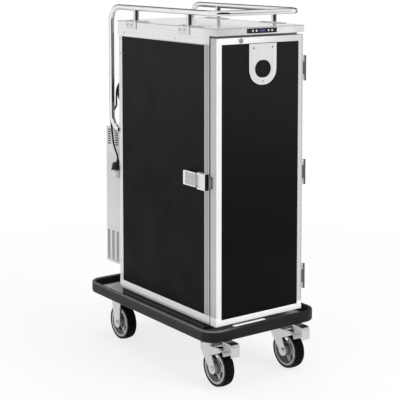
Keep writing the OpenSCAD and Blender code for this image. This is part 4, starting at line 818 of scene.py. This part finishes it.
def fasteners(name, body, spots, radius, head="pan", material=None):
    """spots are (point, facing) pairs; every head is seated with its base on the point."""
    material = material or SCREW
    if head not in HEADS:
        mesh = pan_screw() if head == "pan" else dome_rivet()
        HEADS[head] = bpy.data.objects.new(head + "_head", mesh)
    tree, socket = fastener_tree(name + "_tree", HEADS[head], material)
    mesh = bpy.data.meshes.new(name + "_points")
    mesh.from_pydata([p for p, _ in spots], [], [])
    attribute = mesh.attributes.new("facing", "FLOAT_VECTOR", "POINT")
    for item, (_, facing) in zip(attribute.data, spots):
        item.vector = facing
    carrier = bpy.data.objects.new(name + "_carrier", mesh)
    bpy.context.scene.collection.objects.link(carrier)
    modifier = carrier.modifiers.new("set", "NODES")
    modifier.node_group = tree
    modifier[socket] = radius
    piece = plain_mesh_of(carrier, name, body)
    piece.data.shade_smooth()
    piece.data.set_sharp_from_angle(angle=math.radians(35))
    return piece


LEFT, RIGHT, FRONT, BACK, UP = (-1, 0, 0), (1, 0, 0), (0, -1, 0), (0, 1, 0), (0, 0, 1)

SIDES = ((-1, LEFT), (1, RIGHT))
FLANGE_T = FLANGE_Z - CAP_Z1
FLANGE_SCREW_Z, ROOF_SCREW_X, SCREW_DY = 1.3695, 0.1975, (0.054, 0.022)
SKIRT_SCREW_Z, SKIRT_SCREW_YS = 1.333, (-0.1305, 0.245)
PROFILE_SCREW_Y, PROFILE_SCREW_ZS = 0.2805, (1.307, 1.244, 0.300, 0.360)

bracket_spots = []
for side, facing in SIDES:
    for y in POST_YS:
        for dy in SCREW_DY:
            bracket_spots.append(((side * (CAP_X + FLANGE_T), y + dy, FLANGE_SCREW_Z), facing))
        for dy in (-SCREW_DY[0], SCREW_DY[0]):
            bracket_spots.append(((side * ROOF_SCREW_X, y + dy, FLANGE_Z), UP))
fasteners("bracket_screws", "cabinet", bracket_spots, 0.0042)

skin_spots = []
for side, facing in SIDES:
    for y in SKIRT_SCREW_YS:
        skin_spots.append(((side * CAP_X, y, SKIRT_SCREW_Z), facing))
    for z in PROFILE_SCREW_ZS:
        skin_spots.append(((side * CAB_X, PROFILE_SCREW_Y, z), facing))
fasteners("cabinet_screws", "cabinet", skin_spots, 0.0034)

leaf_x = CAB_X + 0.0025
leaf_zs = [z + dz for z in HINGE_ZS for dz in (-0.036, 0.0, 0.036)]
fasteners("hinge_screws", "cabinet", [((leaf_x, -0.331, z), RIGHT) for z in leaf_zs], 0.003)
fasteners("leaf_screws", "door", [((leaf_x, -0.372, z), RIGHT) for z in leaf_zs], 0.003)

plate_spots = [((0.007 + dx, PANEL_Y - 0.0045, z), FRONT)
               for dx, z in ((-0.0465, 1.304), (0.0465, 1.304), (0.0, 1.175))]
fasteners("card_plate_screws", "door", plate_spots, 0.0036)

rivet_spots = []
for side, facing in SIDES:
    for z in (0.60, 0.75, 0.825):
        rivet_spots.append(((side * UNIT_X, UNIT_Y0 + 0.010, z), facing))
for x in (-0.175, -0.06, 0.06, 0.175):
    rivet_spots.append(((x, UNIT_Y1, UNIT_Z1 - 0.012), BACK))
    rivet_spots.append(((x, UNIT_Y1, UNIT_Z0 + 0.012), BACK))
fasteners("housing_rivets", "cabinet", rivet_spots, 0.003, "rivet")

for head_object in HEADS.values():
    bpy.data.objects.remove(head_object)

# small parts that show


def prism(name, outline, z0, z1, body, material, bevel=0.0):
    """Upright prism over a plan outline, its top edge chamfered."""
    bm = bmesh.new()
    middle = Vector((sum(p[0] for p in outline), sum(p[1] for p in outline))) / len(outline)
    levels = [(z0, 0.0), (z1 - bevel, 0.0)] + ([(z1, bevel)] if bevel else [])
    rings = []
    for z, inset in levels:
        ring = []
        for px, py in outline:
            away = Vector((px, py)) - middle
            away *= 1.0 - inset / max(away.length, 1e-6)
            ring.append(bm.verts.new((middle.x + away.x, middle.y + away.y, z)))
        rings.append(ring)
    count = len(outline)
    for a, b in zip(rings, rings[1:]):
        for k in range(count):
            bm.faces.new((a[k], a[(k + 1) % count], b[(k + 1) % count], b[k]))
    bm.faces.new(rings[0][::-1])
    bm.faces.new(rings[-1])
    piece = from_bmesh(name, bm, body, 30.0)
    dress(piece, material)
    return piece


def round_box(x0, x1, y0, y1, r, steps=5):
    """Plan outline of a box with round corners."""
    points = []
    centres = ((x1 - r, y1 - r), (x0 + r, y1 - r), (x0 + r, y0 + r), (x1 - r, y0 + r))
    for quarter, (cx, cy) in enumerate(centres):
        for k in range(steps + 1):
            a = math.radians(90 * quarter + 90 * k / steps)
            points.append((cx + r * math.cos(a), cy + r * math.sin(a)))
    return points


# A near-black liner inside the housing: painted shade behind its slots.
LINER_T, LINER_INSET = 0.0008, 0.0025
liner_x, liner_y0, liner_y1 = UNIT_X - LINER_INSET, 0.296, UNIT_Y1 - LINER_INSET
inner_x, inner_y = liner_x - LINER_T, liner_y1 - LINER_T
prism("housing_mesh", [
    (-liner_x, liner_y1), (liner_x, liner_y1), (liner_x, liner_y0), (inner_x, liner_y0),
    (inner_x, inner_y), (-inner_x, inner_y), (-inner_x, liner_y0), (-liner_x, liner_y0),
], UNIT_Z0 + 0.0266, UNIT_Z1 - 0.002, "cabinet", SHADE)

CUP_R, CUP_H, CUP_T, CUP_FLOOR = 0.0197, 0.029, 0.0009, 0.001
CUP_AT = (GLAND.x - 0.064, GLAND.y - 0.041, 0.7115)
cup = lathe("plug_cup", [(0, 0), (CUP_R - 0.0011, 0), (CUP_R, 0.0011), (CUP_R, CUP_H),
                         (CUP_R - CUP_T, CUP_H), (CUP_R - CUP_T, CUP_FLOOR), (0, CUP_FLOOR)], 32)
cup.transform(Matrix.Translation(CUP_AT))
cup.shade_smooth()
cup.set_sharp_from_angle(angle=math.radians(35))
dress(new_piece("plug_cup", cup, "cabinet"), HOUSING)

PAD_HALF, PAD_Y0, PAD_Y1, PAD_Z0, PAD_Z1 = 0.0165, -0.4685, -0.4460, 0.1908, 0.1924
for side, body in ((-1, "pedal_left"), (1, "pedal_right")):
    at = side * WHEEL_X
    outline = round_box(at - PAD_HALF, at + PAD_HALF, PAD_Y0, PAD_Y1, 0.003)
    prism(body + "_pad", outline, PAD_Z0, PAD_Z1, body, SEAL, 0.0006)

# studio


class Wires:
    """Short ways to add and join maths nodes in a tree."""

    def __init__(self, tree):
        self.tree = tree

    def join(self, made, values, out=0):
        for key, value in values.items():
            if isinstance(value, bpy.types.NodeSocket):
                self.tree.links.new(value, made.inputs[key])
            else:
                made.inputs[key].default_value = value
        return made.outputs[out] if made.outputs else None

    def maths(self, operation, a, b=0.0):
        made = self.tree.nodes.new("ShaderNodeMath")
        made.operation = operation
        return self.join(made, {0: a, 1: b})

    def vector(self, operation, a, out, b=None):
        made = self.tree.nodes.new("ShaderNodeVectorMath")
        made.operation = operation
        return self.join(made, {0: a} if b is None else {0: a, 1: b}, out)

    def mapped(self, value, low, high, a, b):
        made = self.tree.nodes.new("ShaderNodeMapRange")
        return self.join(made, {"Value": value, "From Min": low, "From Max": high,
                                "To Min": a, "To Max": b})

    def blend(self, share, a, b):
        made = self.tree.nodes.new("ShaderNodeMix")
        return self.join(made, {"Factor": share, "A": a, "B": b})

    def front_field(self, heading):
        """Dark field before the door."""
        return self.mapped(self.vector("DOT_PRODUCT", heading, "Value", (-0.10, -0.995, 0.0)),
                           0.66, 0.79, 0.97, DARK_FIELD)

    def rear_field(self, heading):
        """Share of a dark zone behind the trolley."""
        return self.mapped(self.vector("DOT_PRODUCT", heading, "Value", (0.586, 0.81, 0.0)),
                           0.42, 0.78, 0.0, 1.0)


def pale_floor():
    """White round the trolley with its shadow; mirrors see it dark far in front and far behind."""
    bm = bmesh.new()
    bmesh.ops.create_grid(bm, x_segments=2, y_segments=2, size=14.0)
    mesh = bpy.data.meshes.new("studio_floor")
    bm.to_mesh(mesh)
    bm.free()
    floor = bpy.data.objects.new("studio_floor", mesh)
    bpy.context.scene.collection.objects.link(floor)
    material = bpy.data.materials.new("studio_floor")
    material.use_nodes = True
    tree = material.node_tree
    tree.nodes.clear()
    w = Wires(tree)
    rays = tree.nodes.new("ShaderNodeLightPath")
    place = tree.nodes.new("ShaderNodeTexCoord").outputs["Object"]
    reach = w.vector("LENGTH", place, "Value")
    heading = w.vector("NORMALIZE", place, "Vector")
    far = w.mapped(reach, 1.5, 4.0, 0.0, 1.0)
    rear = w.mapped(w.rear_field(heading), 0.0, 1.0, 0.97, BEHIND)
    level = w.blend(far, NEAR_FLOOR, w.maths("MULTIPLY", w.front_field(heading), rear))
    paint = tree.nodes.new("ShaderNodeBsdfDiffuse")
    paint.inputs["Color"].default_value = (0.86, 0.86, 0.86, 1)
    glow, mirrored = tree.nodes.new("ShaderNodeEmission"), tree.nodes.new("ShaderNodeEmission")
    w.join(mirrored, {"Strength": level})
    seen, kind = tree.nodes.new("ShaderNodeMixShader"), tree.nodes.new("ShaderNodeMixShader")
    share = w.maths("MULTIPLY", rays.outputs["Is Camera Ray"], w.mapped(reach, 0.7, 2.6, 0.78, 1.0))
    w.join(seen, {0: share, 1: paint.outputs[0], 2: glow.outputs[0]})
    w.join(kind, {0: rays.outputs["Is Glossy Ray"], 1: seen.outputs[0], 2: mirrored.outputs[0]})
    out = tree.nodes.new("ShaderNodeOutputMaterial")
    w.join(out, {"Surface": kind.outputs[0]})
    mesh.materials.append(material)


def soft_light(name, at, towards, size, power, mirrored=True):
    data = bpy.data.lights.new(name, "AREA")
    data.shape = "RECTANGLE"
    data.size, data.size_y = size
    data.energy = power
    lamp = bpy.data.objects.new(name, data)
    lamp.location = at
    lamp.visible_glossy = mirrored
    aim = Vector(towards) - Vector(at)
    lamp.rotation_euler = aim.to_track_quat("-Z", "Y").to_euler()
    bpy.context.scene.collection.objects.link(lamp)


def white_surround():
    """White for the camera; reflections see white with dark fields before and behind the trolley."""
    world = bpy.data.worlds.new("studio")
    bpy.context.scene.world = world
    world.use_nodes = True
    tree = world.node_tree
    tree.nodes.clear()
    w = Wires(tree)
    rays = tree.nodes.new("ShaderNodeLightPath")
    heading = tree.nodes.new("ShaderNodeTexCoord").outputs["Generated"]
    split = tree.nodes.new("ShaderNodeSeparateXYZ")
    w.join(split, {0: heading})
    height = split.outputs[2]
    above = w.mapped(height, -0.02, 0.03, 0.0, 1.0)
    gap = w.maths("MULTIPLY", above, w.mapped(height, 0.12, 0.20, 1.0, 0.0))
    rear = w.maths("MULTIPLY", w.rear_field(heading), w.mapped(gap, 0.0, 1.0, 1.0, 0.2))
    glossy = w.maths("MULTIPLY", w.front_field(heading), w.mapped(rear, 0.0, 1.0, 1.0, BEHIND))
    glossy = w.maths("MULTIPLY", glossy, w.mapped(height, 0.3, 0.9, 1.0, OVERHEAD))
    level = w.blend(rays.outputs["Is Glossy Ray"], AMBIENT, glossy)
    seen = w.maths("MAXIMUM", rays.outputs["Is Camera Ray"], rays.outputs["Is Transmission Ray"])
    back = tree.nodes.new("ShaderNodeBackground")
    w.join(back, {"Color": (1, 1, 1, 1), "Strength": w.blend(seen, level, 1.0)})
    out = tree.nodes.new("ShaderNodeOutputWorld")
    w.join(out, {"Surface": back.outputs[0]})


DARK_FIELD, BEHIND, OVERHEAD, AMBIENT, NEAR_FLOOR = 0.02, 0.04, 0.8, 0.52, 0.85
pale_floor()
white_surround()
soft_light("key", (1.4, -4.2, 2.6), (0.0, -0.3, 0.8), (2.4, 2.4), 128, False)
soft_light("side_fill", (-4.2, -0.6, 1.0), (0.0, 0.0, 0.6), (2.6, 2.0), 42, False)
soft_light("top", (0.0, 0.2, 4.2), (0.0, 0.0, 0.0), (3.0, 3.0), 80, False)
bpy.context.scene.view_settings.view_transform = "Standard"
